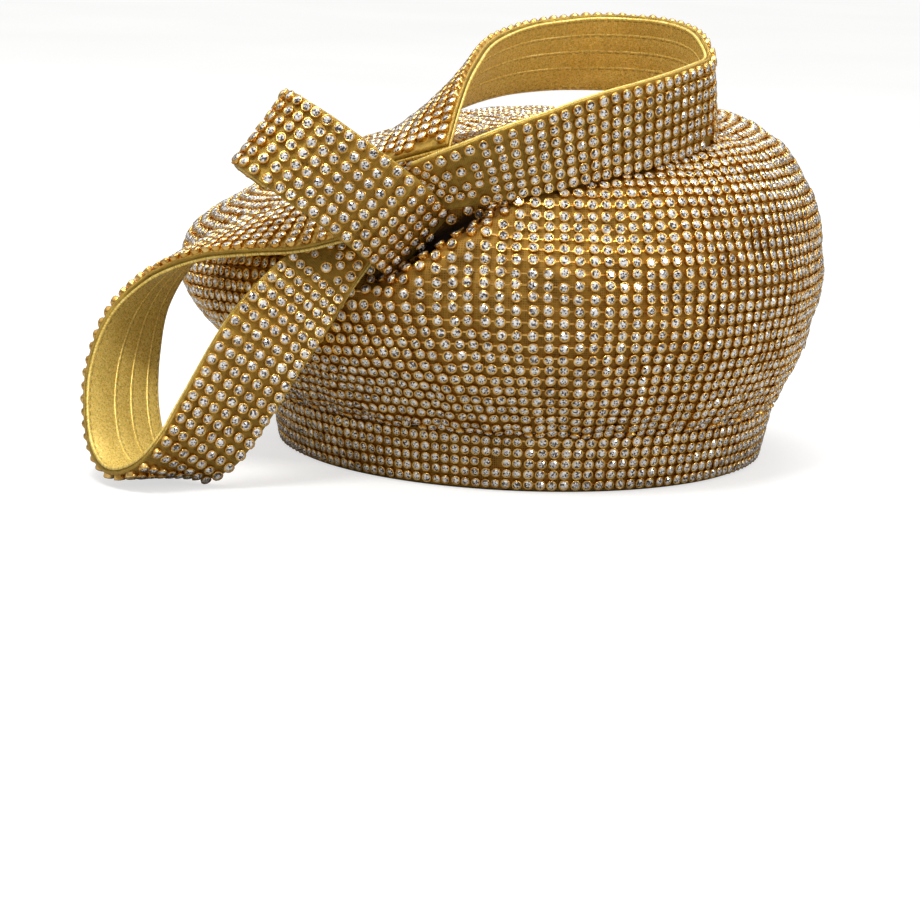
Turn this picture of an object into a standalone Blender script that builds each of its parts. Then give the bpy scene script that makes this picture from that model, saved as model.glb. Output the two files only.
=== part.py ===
"""A church hat: a puffed crown on an upright headband. At the left of the front it is trimmed with a bow of
one wide band, which makes an upper loop, a lower loop and a knot over the place where they cross.

Metres, +Z up. The hat stands on its rim: the origin is the centre of the head opening in the rim's plane.
+X is the right of someone who faces the hat, and -Y is its front.
"""

import bmesh
import bpy
import numpy as np

# The head opening and the headband around it
HEAD_WIDTH = 0.170
HEAD_LENGTH = 0.198
HEADBAND_HEIGHT = 0.021
HEADBAND_WALL = 0.0026
HEADBAND_FLARE = 0.0045

# How far the crown's outside reaches from the middle of the head opening, and how high it stands over the rim
CROWN_RIGHT = 0.1080
CROWN_LEFT = 0.1265
CROWN_FRONT = 0.126
CROWN_BACK = 0.125
CROWN_HEIGHT = 0.120
CROWN_WALL = 0.0026

# The band that the bow is made of: the stone-covered strip and the lining on its inner side
BAND_WIDTH = 0.032
BAND_THICKNESS = 0.0016
LINING_THICKNESS = 0.0010
LINING_INSET = 0.0006

# The bow's place on the crown, as an angle round the hat and a ring of the crown's table
KNOT_TURN = 247.0
KNOT_LEVEL = 6.1

# How far each loop reaches from the knot's place: to the side, to the front or back, and down or up
LOWER_REACH = 0.095
LOWER_SWAY = 0.040
LOWER_DROP = 0.086
UPPER_REACH = 0.107
UPPER_SWAY = 0.097
UPPER_RISE = 0.056

# The same for the knot's own band, which lies over the ends of both loops
KNOT_REACH = 0.044
KNOT_SWAY = 0.018
KNOT_RISE = 0.034

# The gap that every piece keeps from the next one
SEAM_GAP = 0.0003

# How finely the surfaces are divided, and the angle in degrees from which an edge looks sharp
CROWN_COLUMNS = 84
CROWN_LEVELS = 18
BAND_STEPS = 52
KNOT_STEPS = 28
BAND_COLUMNS = 2
FINE_STEPS = 12
FOLD_STEPS = 13
NORMAL_STEP = 0.02
SHARP_ANGLE = 40

# Colours and finish of the gold cloth
STONE_COLOUR = (0.66, 0.49, 0.20)
CROWN_COLOUR = (0.62, 0.45, 0.16)
LINING_COLOUR = (0.70, 0.50, 0.12)
CLOTH_ROUGHNESS = 0.35
CLOTH_METALLIC = 0.7

# The crown, ring by ring upwards from the headband. The first four columns are heights at the hat's right,
# left, front and back, as shares of CROWN_HEIGHT. The last four are reaches outwards at the same four places,
# as shares of the crown's four reaches.
CROWN_TABLE = (
    (0.220, 0.225, 0.220, 0.220, 0.880, 0.770, 0.885, 0.885),
    (0.310, 0.305, 0.310, 0.310, 0.930, 0.845, 0.935, 0.935),
    (0.425, 0.395, 0.415, 0.415, 0.970, 0.935, 0.980, 0.980),
    (0.550, 0.495, 0.530, 0.530, 0.995, 0.995, 1.000, 1.000),
    (0.670, 0.585, 0.650, 0.660, 0.990, 0.995, 0.990, 0.990),
    (0.790, 0.660, 0.765, 0.780, 0.960, 0.940, 0.945, 0.950),
    (0.890, 0.725, 0.865, 0.880, 0.905, 0.845, 0.870, 0.880),
    (0.970, 0.780, 0.935, 0.945, 0.820, 0.725, 0.760, 0.780),
    (1.025, 0.832, 0.975, 0.980, 0.695, 0.575, 0.610, 0.630),
    (1.050, 0.890, 0.990, 0.985, 0.500, 0.385, 0.420, 0.440),
    (1.020, 0.935, 0.990, 0.985, 0.255, 0.195, 0.215, 0.225),
)
APEX_HIGH = 0.980

# Deep folds in the crown, where the bow gathers the cloth. The columns are the angle round the hat and the
# ring where a fold starts, the same where it ends, and its depth and half width as shares of FOLD_DEPTH and
# FOLD_WIDTH. A fold fades at its ends to the root of the sine of FOLD_END of half a turn.
FOLD_DEPTH = 0.0065
FOLD_WIDTH = 0.0055
FOLD_END = 0.12
FOLDS = (
    (263.0, 6.85, 245.5, 4.95, 1.00, 1.00),
    (262.0, 6.30, 292.0, 5.90, 0.34, 1.36),
    (236.0, 6.60, 205.0, 5.10, 0.46, 1.45),
)

# The loops, station by station along the middle of the band. The first three numbers are the place, as shares
# of the loop's reach, sway and drop or rise from the knot's place. The next three are the direction across
# the band from its outer edge to its inner one. The last is its width there as a share of its full width.
LOWER_LOOP_STATIONS = (
    (-0.170, 0.050, 0.035, 0.00, 0.83, 0.55, 0.78),
    (-0.305, 0.140, -0.010, 0.14, 0.86, 0.48, 0.92),
    (-0.440, 0.300, -0.045, 0.30, 0.87, 0.38, 1.00),
    (-0.630, 0.560, -0.110, 0.38, 0.88, 0.27, 1.00),
    (-0.800, 0.780, -0.220, 0.38, 0.91, 0.13, 1.00),
    (-0.920, 0.860, -0.385, 0.44, 0.89, -0.05, 1.00),
    (-0.975, 0.770, -0.570, 0.58, 0.80, -0.14, 1.00),
    (-0.985, 0.540, -0.760, 0.68, 0.71, -0.16, 1.00),
    (-0.945, 0.220, -0.925, 0.74, 0.66, -0.11, 1.00),
    (-0.865, -0.130, -1.000, 0.79, 0.61, -0.03, 1.00),
    (-0.765, -0.360, -0.980, 0.80, 0.59, -0.09, 1.00),
    (-0.665, -0.430, -0.895, 0.80, 0.54, -0.24, 1.00),
    (-0.585, -0.400, -0.765, 0.81, 0.44, -0.38, 1.00),
    (-0.445, -0.310, -0.490, 0.84, 0.20, -0.50, 0.98),
    (-0.355, -0.210, -0.345, 0.84, 0.05, -0.54, 0.92),
    (-0.250, -0.120, -0.200, 0.84, -0.22, -0.48, 0.78),
)
UPPER_LOOP_STATIONS = (
    (1.000, 0.620, 0.875, 0.13, 0.27, -0.95, 1.00),
    (0.970, 0.775, 0.945, 0.22, 0.34, -0.91, 1.00),
    (0.895, 0.900, 0.985, 0.22, 0.42, -0.88, 1.00),
    (0.785, 0.980, 1.000, 0.14, 0.49, -0.86, 1.00),
    (0.650, 1.000, 1.000, 0.02, 0.52, -0.86, 1.00),
    (0.515, 0.975, 0.985, -0.13, 0.54, -0.83, 1.00),
    (0.385, 0.895, 0.955, -0.26, 0.51, -0.82, 1.00),
    (0.290, 0.775, 0.910, -0.35, 0.47, -0.81, 1.00),
    (0.215, 0.630, 0.850, -0.43, 0.43, -0.79, 1.00),
    (0.160, 0.465, 0.770, -0.55, 0.41, -0.73, 1.00),
    (0.110, 0.300, 0.690, -0.69, 0.40, -0.60, 1.00),
    (0.075, 0.135, 0.585, -0.80, 0.39, -0.45, 0.97),
    (0.050, -0.015, 0.440, -0.88, 0.37, -0.29, 0.90),
)
KNOT_STATIONS = (
    (0.050, -0.680, 0.060, 0.62, 0.04, 0.78, 1.00),
    (-0.110, -0.930, 0.235, 0.63, 0.08, 0.77, 1.00),
    (-0.340, -0.990, 0.445, 0.63, 0.10, 0.77, 1.00),
    (-0.630, -0.930, 0.690, 0.61, 0.16, 0.77, 1.00),
    (-0.815, -0.790, 0.830, 0.58, 0.24, 0.77, 1.00),
    (-0.945, -0.510, 0.915, 0.55, 0.32, 0.76, 1.00),
    (-1.005, -0.110, 0.915, 0.52, 0.38, 0.75, 1.00),
    (-0.960, 0.260, 0.830, 0.50, 0.40, 0.75, 1.00),
    (-0.850, 0.520, 0.700, 0.50, 0.40, 0.75, 1.00),
)

# The front of the upper loop, which stands on the crown on the band's inner edge. The columns are that edge's
# place on the crown, as an angle and a ring, the direction across the band, and its width.
UPPER_LOOP_STANDING = (
    (254.5, 6.50, 0.62, 0.26, -0.72, 0.60),
    (260.5, 6.62, 0.30, 0.42, -0.85, 0.73),
    (267.5, 6.82, 0.20, 0.38, -0.90, 0.83),
    (274.5, 7.05, 0.16, 0.31, -0.94, 0.88),
    (285.0, 7.46, 0.09, 0.27, -0.96, 0.95),
    (298.0, 7.86, 0.05, 0.25, -0.97, 0.99),
    (311.0, 8.27, 0.04, 0.24, -0.97, 1.00),
    (319.5, 8.53, 0.06, 0.23, -0.97, 1.00),
)

# Where the ends of the bands sit flat on the crown, under the knot, with the same columns
LOWER_START = (247.5, 6.60, 0.05, 0.60, 0.80, 0.58)
LOWER_END = (243.5, 5.65, 0.80, -0.40, -0.45, 0.50)
KNOT_START = (251.3, 5.80, 0.60, 0.00, 0.80, 0.90)


def spline(rows, places):
    """A smooth line through the rows (Catmull-Rom), read at places counted in rows from the first."""
    rows = np.asarray(rows, float)
    last = len(rows) - 1
    first = np.clip(np.floor(places).astype(int), 0, last - 1)
    part = (places - first).reshape((-1,) + (1,) * (rows.ndim - 1))
    before = rows[np.maximum(first - 1, 0)]
    start = rows[first]
    end = rows[first + 1]
    after = rows[np.minimum(first + 2, last)]
    return 0.5 * (
        2 * start
        + (end - before) * part
        + (2 * before - 5 * start + 4 * end - after) * part**2
        + (3 * start - before - 3 * end + after) * part**3
    )


def around(columns):
    """The angles of the columns round the hat, from +X through the back at +Y."""
    return np.arange(columns) * 2 * np.pi / columns


def headband_outline(angles, grow=0.0):
    """Points of the head opening's oval in the rim's plane, moved outwards by grow."""
    return np.stack(
        [
            (HEAD_WIDTH / 2 + grow) * np.cos(angles),
            (HEAD_LENGTH / 2 + grow) * np.sin(angles),
            np.zeros_like(angles),
        ],
        axis=-1,
    )


def crown_rings(angles):
    """The crown's rings as points: the first on the headband's top edge, the rest from the table."""
    sides = np.array([CROWN_RIGHT, CROWN_LEFT, CROWN_FRONT, CROWN_BACK])
    right, left = np.cos(angles).clip(0), (-np.cos(angles)).clip(0)
    back, front = np.sin(angles).clip(0), (-np.sin(angles)).clip(0)
    shares = np.stack([right, left, front, back], axis=-1)
    table = np.array(CROWN_TABLE)
    high = (table[:, None, :4] * shares**2).sum(-1) * CROWN_HEIGHT
    out = table[:, 4:] * sides
    x = out[:, None, 0] * right - out[:, None, 1] * left
    y = out[:, None, 3] * back - out[:, None, 2] * front
    foot = headband_outline(angles, HEADBAND_WALL + HEADBAND_FLARE)
    foot[:, 2] = HEADBAND_HEIGHT + SEAM_GAP
    return np.concatenate([foot[None], np.stack([x, y, high], axis=-1)])


def across_grid(points):
    """The outward normals of a grid of points whose rows are rings that close on themselves."""
    along = np.roll(points, -1, axis=1) - np.roll(points, 1, axis=1)
    up = np.gradient(points, axis=0)
    normals = np.cross(along, up)
    return normals / np.linalg.norm(normals, axis=-1, keepdims=True)


def fold_depth(points):
    """How deep the folds press each point of the crown inwards, less with the distance from a fold's line."""
    depth = np.zeros(points.shape[:-1])
    for turn_from, level_from, turn_to, level_to, deep, wide in FOLDS:
        turns = np.radians(np.linspace(turn_from, turn_to, FOLD_STEPS))
        line = smooth_crown(turns, np.linspace(level_from, level_to, FOLD_STEPS), paired=True)
        away = np.linalg.norm(points[..., None, :] - line, axis=-1)
        nearest = away.argmin(axis=-1) / (len(line) - 1)
        fade = np.sqrt(np.sin(np.pi * (FOLD_END + (1 - 2 * FOLD_END) * nearest)))
        depth += deep * FOLD_DEPTH * fade * np.exp(-((away.min(axis=-1) / (wide * FOLD_WIDTH)) ** 2))
    return depth


def smooth_crown(angles, levels, paired=False):
    """The crown's outside before its folds, at these angles and levels (rings counted from the headband).

    The two lists make a grid with a row for each level, or a line of points if they are paired."""
    rings = spline(crown_rings(angles), np.asarray(levels, float))
    return np.stack([rings[i, i] for i in range(len(angles))]) if paired else rings


def crown_grid(angles, levels):
    """The crown's outside with its folds, as a grid with a row for each level."""
    points = smooth_crown(angles, levels)
    return points - fold_depth(points)[..., None] * across_grid(points)


def crown_place(turn, level):
    """A point on the crown, with the outward normal there."""
    near = np.array([-NORMAL_STEP, 0.0, NORMAL_STEP])
    patch = smooth_crown(np.radians(turn) + near, level + near)
    normal = np.cross(patch[1, 2] - patch[1, 0], patch[2, 1] - patch[0, 1])
    return patch[1, 1], normal / np.linalg.norm(normal)


def seat(place):
    """A station of a band that lies flat on the crown, its lining a seam's gap above it."""
    lift = 2 * SEAM_GAP + LINING_THICKNESS + BAND_THICKNESS / 2
    turn, level, across_x, across_y, across_z, wide = place
    point, normal = crown_place(turn, level)
    across = np.array([across_x, across_y, across_z])
    across -= across.dot(normal) * normal
    return np.concatenate([point + lift * normal, across / np.linalg.norm(across), [wide]])[None]


def standing_stations(rows):
    """Stations of a band that stands on the crown on its inner edge, a seam's gap above it."""
    rows = np.array(rows)
    places = [crown_place(turn, level) for turn, level in rows[:, :2]]
    points, normals = (np.array(part) for part in zip(*places))
    across = rows[:, 2:5] / np.linalg.norm(rows[:, 2:5], axis=1, keepdims=True)
    along = np.gradient(points, axis=0)
    out = np.cross(across, along)
    out /= np.linalg.norm(out, axis=1, keepdims=True)
    reach = BAND_THICKNESS / 2 + SEAM_GAP + LINING_THICKNESS
    lift = SEAM_GAP + reach * np.abs((out * normals).sum(1, keepdims=True))
    wide = rows[:, 5:6]
    return np.hstack([points + lift * normals - across * wide * BAND_WIDTH / 2, across, wide])


def free_stations(stations, reach, sway, height):
    """A free band's stations in metres, from their shares and the knot's place on the crown."""
    rows = np.array(stations)
    place, _ = crown_place(KNOT_TURN, KNOT_LEVEL)
    rows[:, :3] = place + rows[:, :3] * [reach, sway, height]
    return rows


def lower_loop_stations():
    """The lower loop's stations, from the knot over the crown's shoulder, round and back to the knot."""
    free = free_stations(LOWER_LOOP_STATIONS, LOWER_REACH, LOWER_SWAY, LOWER_DROP)
    return np.concatenate([seat(LOWER_START), free, seat(LOWER_END)])


def upper_loop_stations():
    """The upper loop's stations, from the knot along the crown's front, round and back over the knot."""
    free = free_stations(UPPER_LOOP_STATIONS, UPPER_REACH, UPPER_SWAY, UPPER_RISE)
    return np.concatenate([standing_stations(UPPER_LOOP_STANDING), free])


def knot_stations():
    """The knot's stations, from the fold where it is sewn down to its free end."""
    free = free_stations(KNOT_STATIONS, KNOT_REACH, KNOT_SWAY, KNOT_RISE)
    return np.concatenate([seat(KNOT_START), free])


def band_frames(stations, steps):
    """Even points along a band's middle, with the directions across it and out of it, and its width there."""
    places = np.linspace(0, len(stations) - 1, FINE_STEPS * len(stations))
    fine = spline(stations, places)
    run = np.concatenate([[0], np.cumsum(np.linalg.norm(np.diff(fine[:, :3], axis=0), axis=1))])
    fine = spline(stations, np.interp(np.linspace(0, run[-1], steps), run, places))
    middle, across, wide = fine[:, :3], fine[:, 3:6], fine[:, 6]
    along = np.gradient(middle, axis=0)
    along /= np.linalg.norm(along, axis=1, keepdims=True)
    across = across - (across * along).sum(1, keepdims=True) * along
    across /= np.linalg.norm(across, axis=1, keepdims=True)
    return middle, across, np.cross(across, along), wide * BAND_WIDTH


# Building


def solid(name, points, faces, colour):
    """One closed mesh as an object with its own material, its faces turned outwards."""
    mesh = bpy.data.meshes.new(name)
    mesh.from_pydata(np.asarray(points).tolist(), [], faces)
    work = bmesh.new()
    work.from_mesh(mesh)
    bmesh.ops.recalc_face_normals(work, faces=work.faces)
    work.to_mesh(mesh)
    work.free()
    mesh.shade_smooth()
    mesh.set_sharp_from_angle(angle=np.radians(SHARP_ANGLE))
    material = bpy.data.materials.new(name)
    material.use_nodes = True
    shader = material.node_tree.nodes["Principled BSDF"]
    shader.inputs["Base Color"].default_value = (*colour, 1.0)
    shader.inputs["Roughness"].default_value = CLOTH_ROUGHNESS
    shader.inputs["Metallic"].default_value = CLOTH_METALLIC
    mesh.materials.append(material)
    item = bpy.data.objects.new(name, mesh)
    bpy.context.scene.collection.objects.link(item)


def ring_faces(rings, columns, close=False):
    """The quads between rings that follow one another, and between the last and the first if closed."""
    faces = []
    for row in range(rings if close else rings - 1):
        here, there = row * columns, (row + 1) % rings * columns
        for column in range(columns):
            after = (column + 1) % columns
            faces.append((here + column, here + after, there + after, there + column))
    return faces


def build_crown():
    """The crown: its outside, its inside one wall further in, and the flat foot that joins them."""
    angles = around(CROWN_COLUMNS)
    levels = np.linspace(0, len(CROWN_TABLE), CROWN_LEVELS)
    outside = crown_grid(angles, levels)
    inside = outside - CROWN_WALL * across_grid(outside)
    inside[0] = headband_outline(angles, HEADBAND_FLARE)
    inside[0, :, 2] = outside[0, :, 2]
    top = np.array([0.0, 0.0, APEX_HIGH * CROWN_HEIGHT])
    rings = np.concatenate([inside[::-1], outside])
    points = np.concatenate([rings.reshape(-1, 3), [top - [0, 0, CROWN_WALL]], [top]])
    count = len(rings)
    faces = ring_faces(count, CROWN_COLUMNS)
    under, over = count * CROWN_COLUMNS, count * CROWN_COLUMNS + 1
    last = (count - 1) * CROWN_COLUMNS
    for column in range(CROWN_COLUMNS):
        after = (column + 1) % CROWN_COLUMNS
        faces.append((after, column, under))
        faces.append((last + column, last + after, over))
    solid("crown", points, faces, CROWN_COLOUR)


def build_headband():
    """The headband: an oval wall that leans outwards a little, with a flat rim to stand on."""
    angles = around(CROWN_COLUMNS)
    corners = ((0, 0), (HEADBAND_WALL, 0), (HEADBAND_WALL, 1), (0, 1))
    rings = []
    for grow, high in corners:
        ring = headband_outline(angles, grow + high * HEADBAND_FLARE)
        ring[:, 2] = high * HEADBAND_HEIGHT
        rings.append(ring)
    faces = ring_faces(len(rings), CROWN_COLUMNS, close=True)
    solid("headband", np.concatenate(rings), faces, CROWN_COLOUR)


def band_faces(steps):
    """The triangles of a strip and its two ends. Facing strips split alike, so twisted ones stay apart."""
    points = 2 * (BAND_COLUMNS + 1)
    faces = []
    for step in range(steps - 1):
        here, there = step * points, (step + 1) * points
        for column in range(points):
            after = (column + 1) % points
            if column <= BAND_COLUMNS:
                faces.append((here + column, here + after, there + after))
                faces.append((here + column, there + after, there + column))
            else:
                faces.append((here + column, here + after, there + column))
                faces.append((here + after, there + after, there + column))
    last = (steps - 1) * points
    faces.append(tuple(range(points)))
    faces.append(tuple(range(last, last + points)))
    return faces


def build_band(name, stations, steps, outer, inner, inset, colour):
    """A strip along the stations, between two distances out of the band's middle surface."""
    middle, across, out, width = band_frames(stations, steps)
    half = (width / 2 - inset)[:, None]
    sides = np.linspace(-1, 1, BAND_COLUMNS + 1)
    section = [(side, outer) for side in sides] + [(side, inner) for side in sides[::-1]]
    rows = np.stack([middle + side * half * across + rise * out for side, rise in section], axis=1)
    solid(name, rows.reshape(-1, 3), band_faces(steps), colour)


def main():
    """Clears the scene and builds every piece."""
    for item in list(bpy.data.objects):
        bpy.data.objects.remove(item, do_unlink=True)
    build_crown()
    build_headband()
    face, back = BAND_THICKNESS / 2, -BAND_THICKNESS / 2
    under = back - SEAM_GAP
    deep = under - LINING_THICKNESS
    for name, stations in (("lower_loop", lower_loop_stations()), ("upper_loop", upper_loop_stations())):
        build_band(name, stations, BAND_STEPS, face, back, 0.0, STONE_COLOUR)
        build_band(name + "_lining", stations, BAND_STEPS, under, deep, LINING_INSET, LINING_COLOUR)
    build_band("knot", knot_stations(), KNOT_STEPS, face, back - LINING_THICKNESS, 0.0, STONE_COLOUR)


main()
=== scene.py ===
# %% [markdown]
# # A church hat covered in stones
#
# The hat is a soft crown on an upright headband, with a bow made of one wide band. Every part of it is covered
# in rows of clear stones, each in its own small gold cup, and the inside of the bow is lined with gold cloth.
# The cloth is thin and the stones are tiny, so the work is done in that order: first the smooth forms, then the
# cloth on them, and last the thousands of stones, which sit on the forms by the same formulas.

import bpy
import numpy as np
from mathutils import Matrix, Vector


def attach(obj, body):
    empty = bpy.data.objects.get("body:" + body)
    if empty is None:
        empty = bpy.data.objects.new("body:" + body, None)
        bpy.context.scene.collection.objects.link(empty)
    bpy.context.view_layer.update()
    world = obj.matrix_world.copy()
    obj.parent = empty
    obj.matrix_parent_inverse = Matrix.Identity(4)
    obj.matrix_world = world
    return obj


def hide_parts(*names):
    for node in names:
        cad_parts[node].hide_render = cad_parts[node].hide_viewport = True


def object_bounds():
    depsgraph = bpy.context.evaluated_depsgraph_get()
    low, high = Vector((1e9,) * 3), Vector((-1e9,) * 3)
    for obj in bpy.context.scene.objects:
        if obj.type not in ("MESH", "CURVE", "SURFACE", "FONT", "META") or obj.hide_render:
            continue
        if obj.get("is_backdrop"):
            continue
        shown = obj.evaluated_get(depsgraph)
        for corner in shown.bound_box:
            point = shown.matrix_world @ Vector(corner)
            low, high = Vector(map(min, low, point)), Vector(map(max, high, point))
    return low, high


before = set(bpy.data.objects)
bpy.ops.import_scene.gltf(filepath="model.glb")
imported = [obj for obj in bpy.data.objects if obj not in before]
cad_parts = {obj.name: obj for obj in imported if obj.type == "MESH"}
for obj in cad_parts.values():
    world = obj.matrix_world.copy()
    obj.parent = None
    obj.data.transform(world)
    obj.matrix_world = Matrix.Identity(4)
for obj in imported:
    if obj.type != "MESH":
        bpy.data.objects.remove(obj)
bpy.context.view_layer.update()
print("nodes:", sorted(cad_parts))

# %% [markdown]
# ## The camera
#
# The photograph was taken with a long lens, a little above the height of the hat, and the hat leans slightly to
# its right. A camera can be aimed with a constraint, but a matrix built from its three directions states the
# lean exactly, and leaves nothing for the scene to work out later.

# %% Place the camera
IMAGE_SIDE = 920
CAMERA_DISTANCE = 1.300
CAMERA_RISE = np.radians(9.8)
CAMERA_LEAN = np.radians(2.2)
METRES_PER_PIXEL = 0.000375
LOOK_AT = Vector((-0.0218, 0.0, -0.0080))

camera_data = bpy.data.cameras.new("camera")
camera_data.sensor_width = 36.0
camera_data.lens = 36.0 * CAMERA_DISTANCE / METRES_PER_PIXEL / IMAGE_SIDE
camera_data.clip_start = 0.05
camera = bpy.data.objects.new("camera", camera_data)
bpy.context.scene.collection.objects.link(camera)
place = Vector((0.0, -CAMERA_DISTANCE * np.cos(CAMERA_RISE), CAMERA_DISTANCE * np.sin(CAMERA_RISE)))
ahead = (LOOK_AT - place).normalized()
right = ahead.cross(Vector((0.0, 0.0, 1.0))).normalized()
above = right.cross(ahead)
across_image = right * np.cos(CAMERA_LEAN) + above * np.sin(CAMERA_LEAN)
up_image = above * np.cos(CAMERA_LEAN) - right * np.sin(CAMERA_LEAN)
turn = Matrix((across_image, up_image, -ahead)).transposed().to_4x4()
camera.matrix_world = Matrix.Translation(place) @ turn
bpy.context.scene.camera = camera
print("lens in mm:", round(camera_data.lens, 1))

# %% [markdown]
# ## Meshes from arrays
#
# Blender can build a mesh one face at a time, but with tens of thousands of faces that is slow. Here a mesh is
# three plain arrays: the points, the corners of all the faces one after another, and how many corners each face
# has. Blender takes all three in one step each. A grid of points is the commonest case, so it has its own
# function, which also writes a UV map in metres, for patterns that follow the cloth.

# %% Functions that turn arrays into pieces
def make_piece(name, points, corners, sizes, uvs=None, smooth=True):
    """A mesh object from its points, the list of face corners, and the number of corners of each face."""
    mesh = bpy.data.meshes.new(name)
    mesh.vertices.add(len(points))
    mesh.vertices.foreach_set("co", np.asarray(points, np.float32).ravel())
    mesh.loops.add(len(corners))
    mesh.loops.foreach_set("vertex_index", np.asarray(corners, np.int32))
    mesh.polygons.add(len(sizes))
    starts = np.concatenate([[0], np.cumsum(sizes)[:-1]])
    mesh.polygons.foreach_set("loop_start", starts.astype(np.int32))
    mesh.update(calc_edges=True)
    if uvs is not None:
        layer = mesh.uv_layers.new(name="cloth")
        layer.data.foreach_set("uv", np.asarray(uvs, np.float32).ravel())
    mesh.polygons.foreach_set("use_smooth", np.full(len(sizes), smooth))
    mesh.validate()
    piece = bpy.data.objects.new(name, mesh)
    bpy.context.scene.collection.objects.link(piece)
    return piece


def grid_corners(rows, columns, close_rows=False, close_columns=False):
    """Quads between neighbours in a grid of points: point numbers, and rows and columns not yet closed."""
    row, column = np.meshgrid(
        np.arange(rows if close_rows else rows - 1),
        np.arange(columns if close_columns else columns - 1),
        indexing="ij",
    )
    steps = np.array([[0, 0], [0, 1], [1, 1], [1, 0]])
    at_row = row[..., None] + steps[:, 0]
    at_column = column[..., None] + steps[:, 1]
    points = (at_row % rows) * columns + at_column % columns
    return points.reshape(-1), at_row.reshape(-1), at_column.reshape(-1)


def finish_piece(piece, material, slot, *nodes):
    """Gives a piece its material, its place on the hat's one body, and the solids that it stands for."""
    piece.data.materials.append(material)
    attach(piece, "root")
    if nodes:
        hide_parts(*nodes)
    print(piece.name, "faces:", len(piece.data.polygons))


# %% [markdown]
# ## Node groups that more than one finish uses
#
# The gold cloth of the crown, of the band and of the lining differ in colour, but all three have threads and
# small uneven places. Each such effect is a node group with named inputs, built once. A group puts out values
# and heights only, and the shader itself stays in each material.

# %% Helpers for node trees
def add_node(tree, kind, **settings):
    """A new node of this kind, with its properties set by name."""
    node = tree.nodes.new(kind)
    for name, value in settings.items():
        setattr(node, name, value)
    return node


def calculate(tree, operation, *values):
    """A Math node that takes sockets or plain numbers, and gives back its output."""
    node = add_node(tree, "ShaderNodeMath", operation=operation)
    for place_in, value in zip(node.inputs, values):
        if isinstance(value, (int, float)):
            place_in.default_value = value
        else:
            tree.links.new(value, place_in)
    return node.outputs[0]


def new_group(name, inputs, outputs):
    """An empty node group with these sockets, and its inner input and output nodes."""
    group = bpy.data.node_groups.new(name, "ShaderNodeTree")
    for label, kind, value in inputs:
        socket = group.interface.new_socket(label, in_out="INPUT", socket_type=kind)
        if value is not None:
            socket.default_value = value
    for label in outputs:
        group.interface.new_socket(label, in_out="OUTPUT", socket_type="NodeSocketFloat")
    return group, group.nodes.new("NodeGroupInput"), group.nodes.new("NodeGroupOutput")


# %% The weave group
# Warp and weft are two sine waves that cross. Where one thread rises the other goes under, so the height is the
# product of the two waves, and the shade of each thread is the larger of them.
weave_group, taken, given = new_group(
    "woven threads",
    [("Vector", "NodeSocketVector", None), ("Thread", "NodeSocketFloat", 0.0006)],
    ["Height", "Shade"],
)
parts = add_node(weave_group, "ShaderNodeSeparateXYZ")
weave_group.links.new(taken.outputs["Vector"], parts.inputs[0])
turns_per_metre = calculate(weave_group, "DIVIDE", 2 * np.pi, taken.outputs["Thread"])
warp = calculate(weave_group, "SINE", calculate(weave_group, "MULTIPLY", parts.outputs[0], turns_per_metre))
weft = calculate(weave_group, "SINE", calculate(weave_group, "MULTIPLY", parts.outputs[1], turns_per_metre))
product = calculate(weave_group, "MULTIPLY", warp, weft)
height = calculate(weave_group, "MULTIPLY_ADD", product, 0.5, 0.5)
weave_group.links.new(height, given.inputs["Height"])
weave_group.links.new(calculate(weave_group, "MAXIMUM", warp, weft), given.inputs["Shade"])

# %% The foil group
# Metallic cloth is made of flat foil threads that lie unevenly, so it glitters in small flakes. The flakes are
# the cells of a Voronoi pattern: each cell's own random colour says how bright it is and how it tilts.
foil_group, taken, given = new_group(
    "foil flakes",
    [("Vector", "NodeSocketVector", None), ("Flakes per metre", "NodeSocketFloat", 1400.0)],
    ["Height", "Flake", "Uneven"],
)
cells = add_node(foil_group, "ShaderNodeTexVoronoi", feature="F1")
foil_group.links.new(taken.outputs["Vector"], cells.inputs["Vector"])
foil_group.links.new(taken.outputs["Flakes per metre"], cells.inputs["Scale"])
cell_value = add_node(foil_group, "ShaderNodeSeparateColor")
foil_group.links.new(cells.outputs["Color"], cell_value.inputs[0])
crumple = add_node(foil_group, "ShaderNodeTexNoise")
crumple.inputs["Detail"].default_value = 5.0
crumple.inputs["Roughness"].default_value = 0.6
foil_group.links.new(taken.outputs["Vector"], crumple.inputs["Vector"])
coarse = calculate(foil_group, "MULTIPLY", taken.outputs["Flakes per metre"], 0.22)
foil_group.links.new(coarse, crumple.inputs["Scale"])
flake_height = calculate(foil_group, "MULTIPLY", cell_value.outputs[0], 0.45)
foil_height = calculate(foil_group, "ADD", flake_height, crumple.outputs[0])
foil_group.links.new(foil_height, given.inputs["Height"])
foil_group.links.new(cell_value.outputs[1], given.inputs["Flake"])
foil_group.links.new(crumple.outputs[0], given.inputs["Uneven"])

# %% The fold group
# Deep in the fold beside the bow little light arrives, so painted shade darkens the cloth and cups there. A
# number stored on the mesh says how deep in the fold a place is, and the group takes that share away from any
# value.
fold_group, taken, given = new_group(
    "painted shade in folds",
    [("Value", "NodeSocketFloat", 0.5), ("In fold", "NodeSocketFloat", 0.0)],
    ["Value"],
)
MOST_FOLD_SHADE = 0.92
left_over = calculate(fold_group, "MULTIPLY_ADD", taken.outputs["In fold"], -MOST_FOLD_SHADE, 1.0)
fold_shaded = calculate(fold_group, "MULTIPLY", taken.outputs["Value"], left_over)
fold_group.links.new(fold_shaded, given.inputs["Value"])
print("node groups:", [group.name for group in (weave_group, foil_group, fold_group)])
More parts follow.
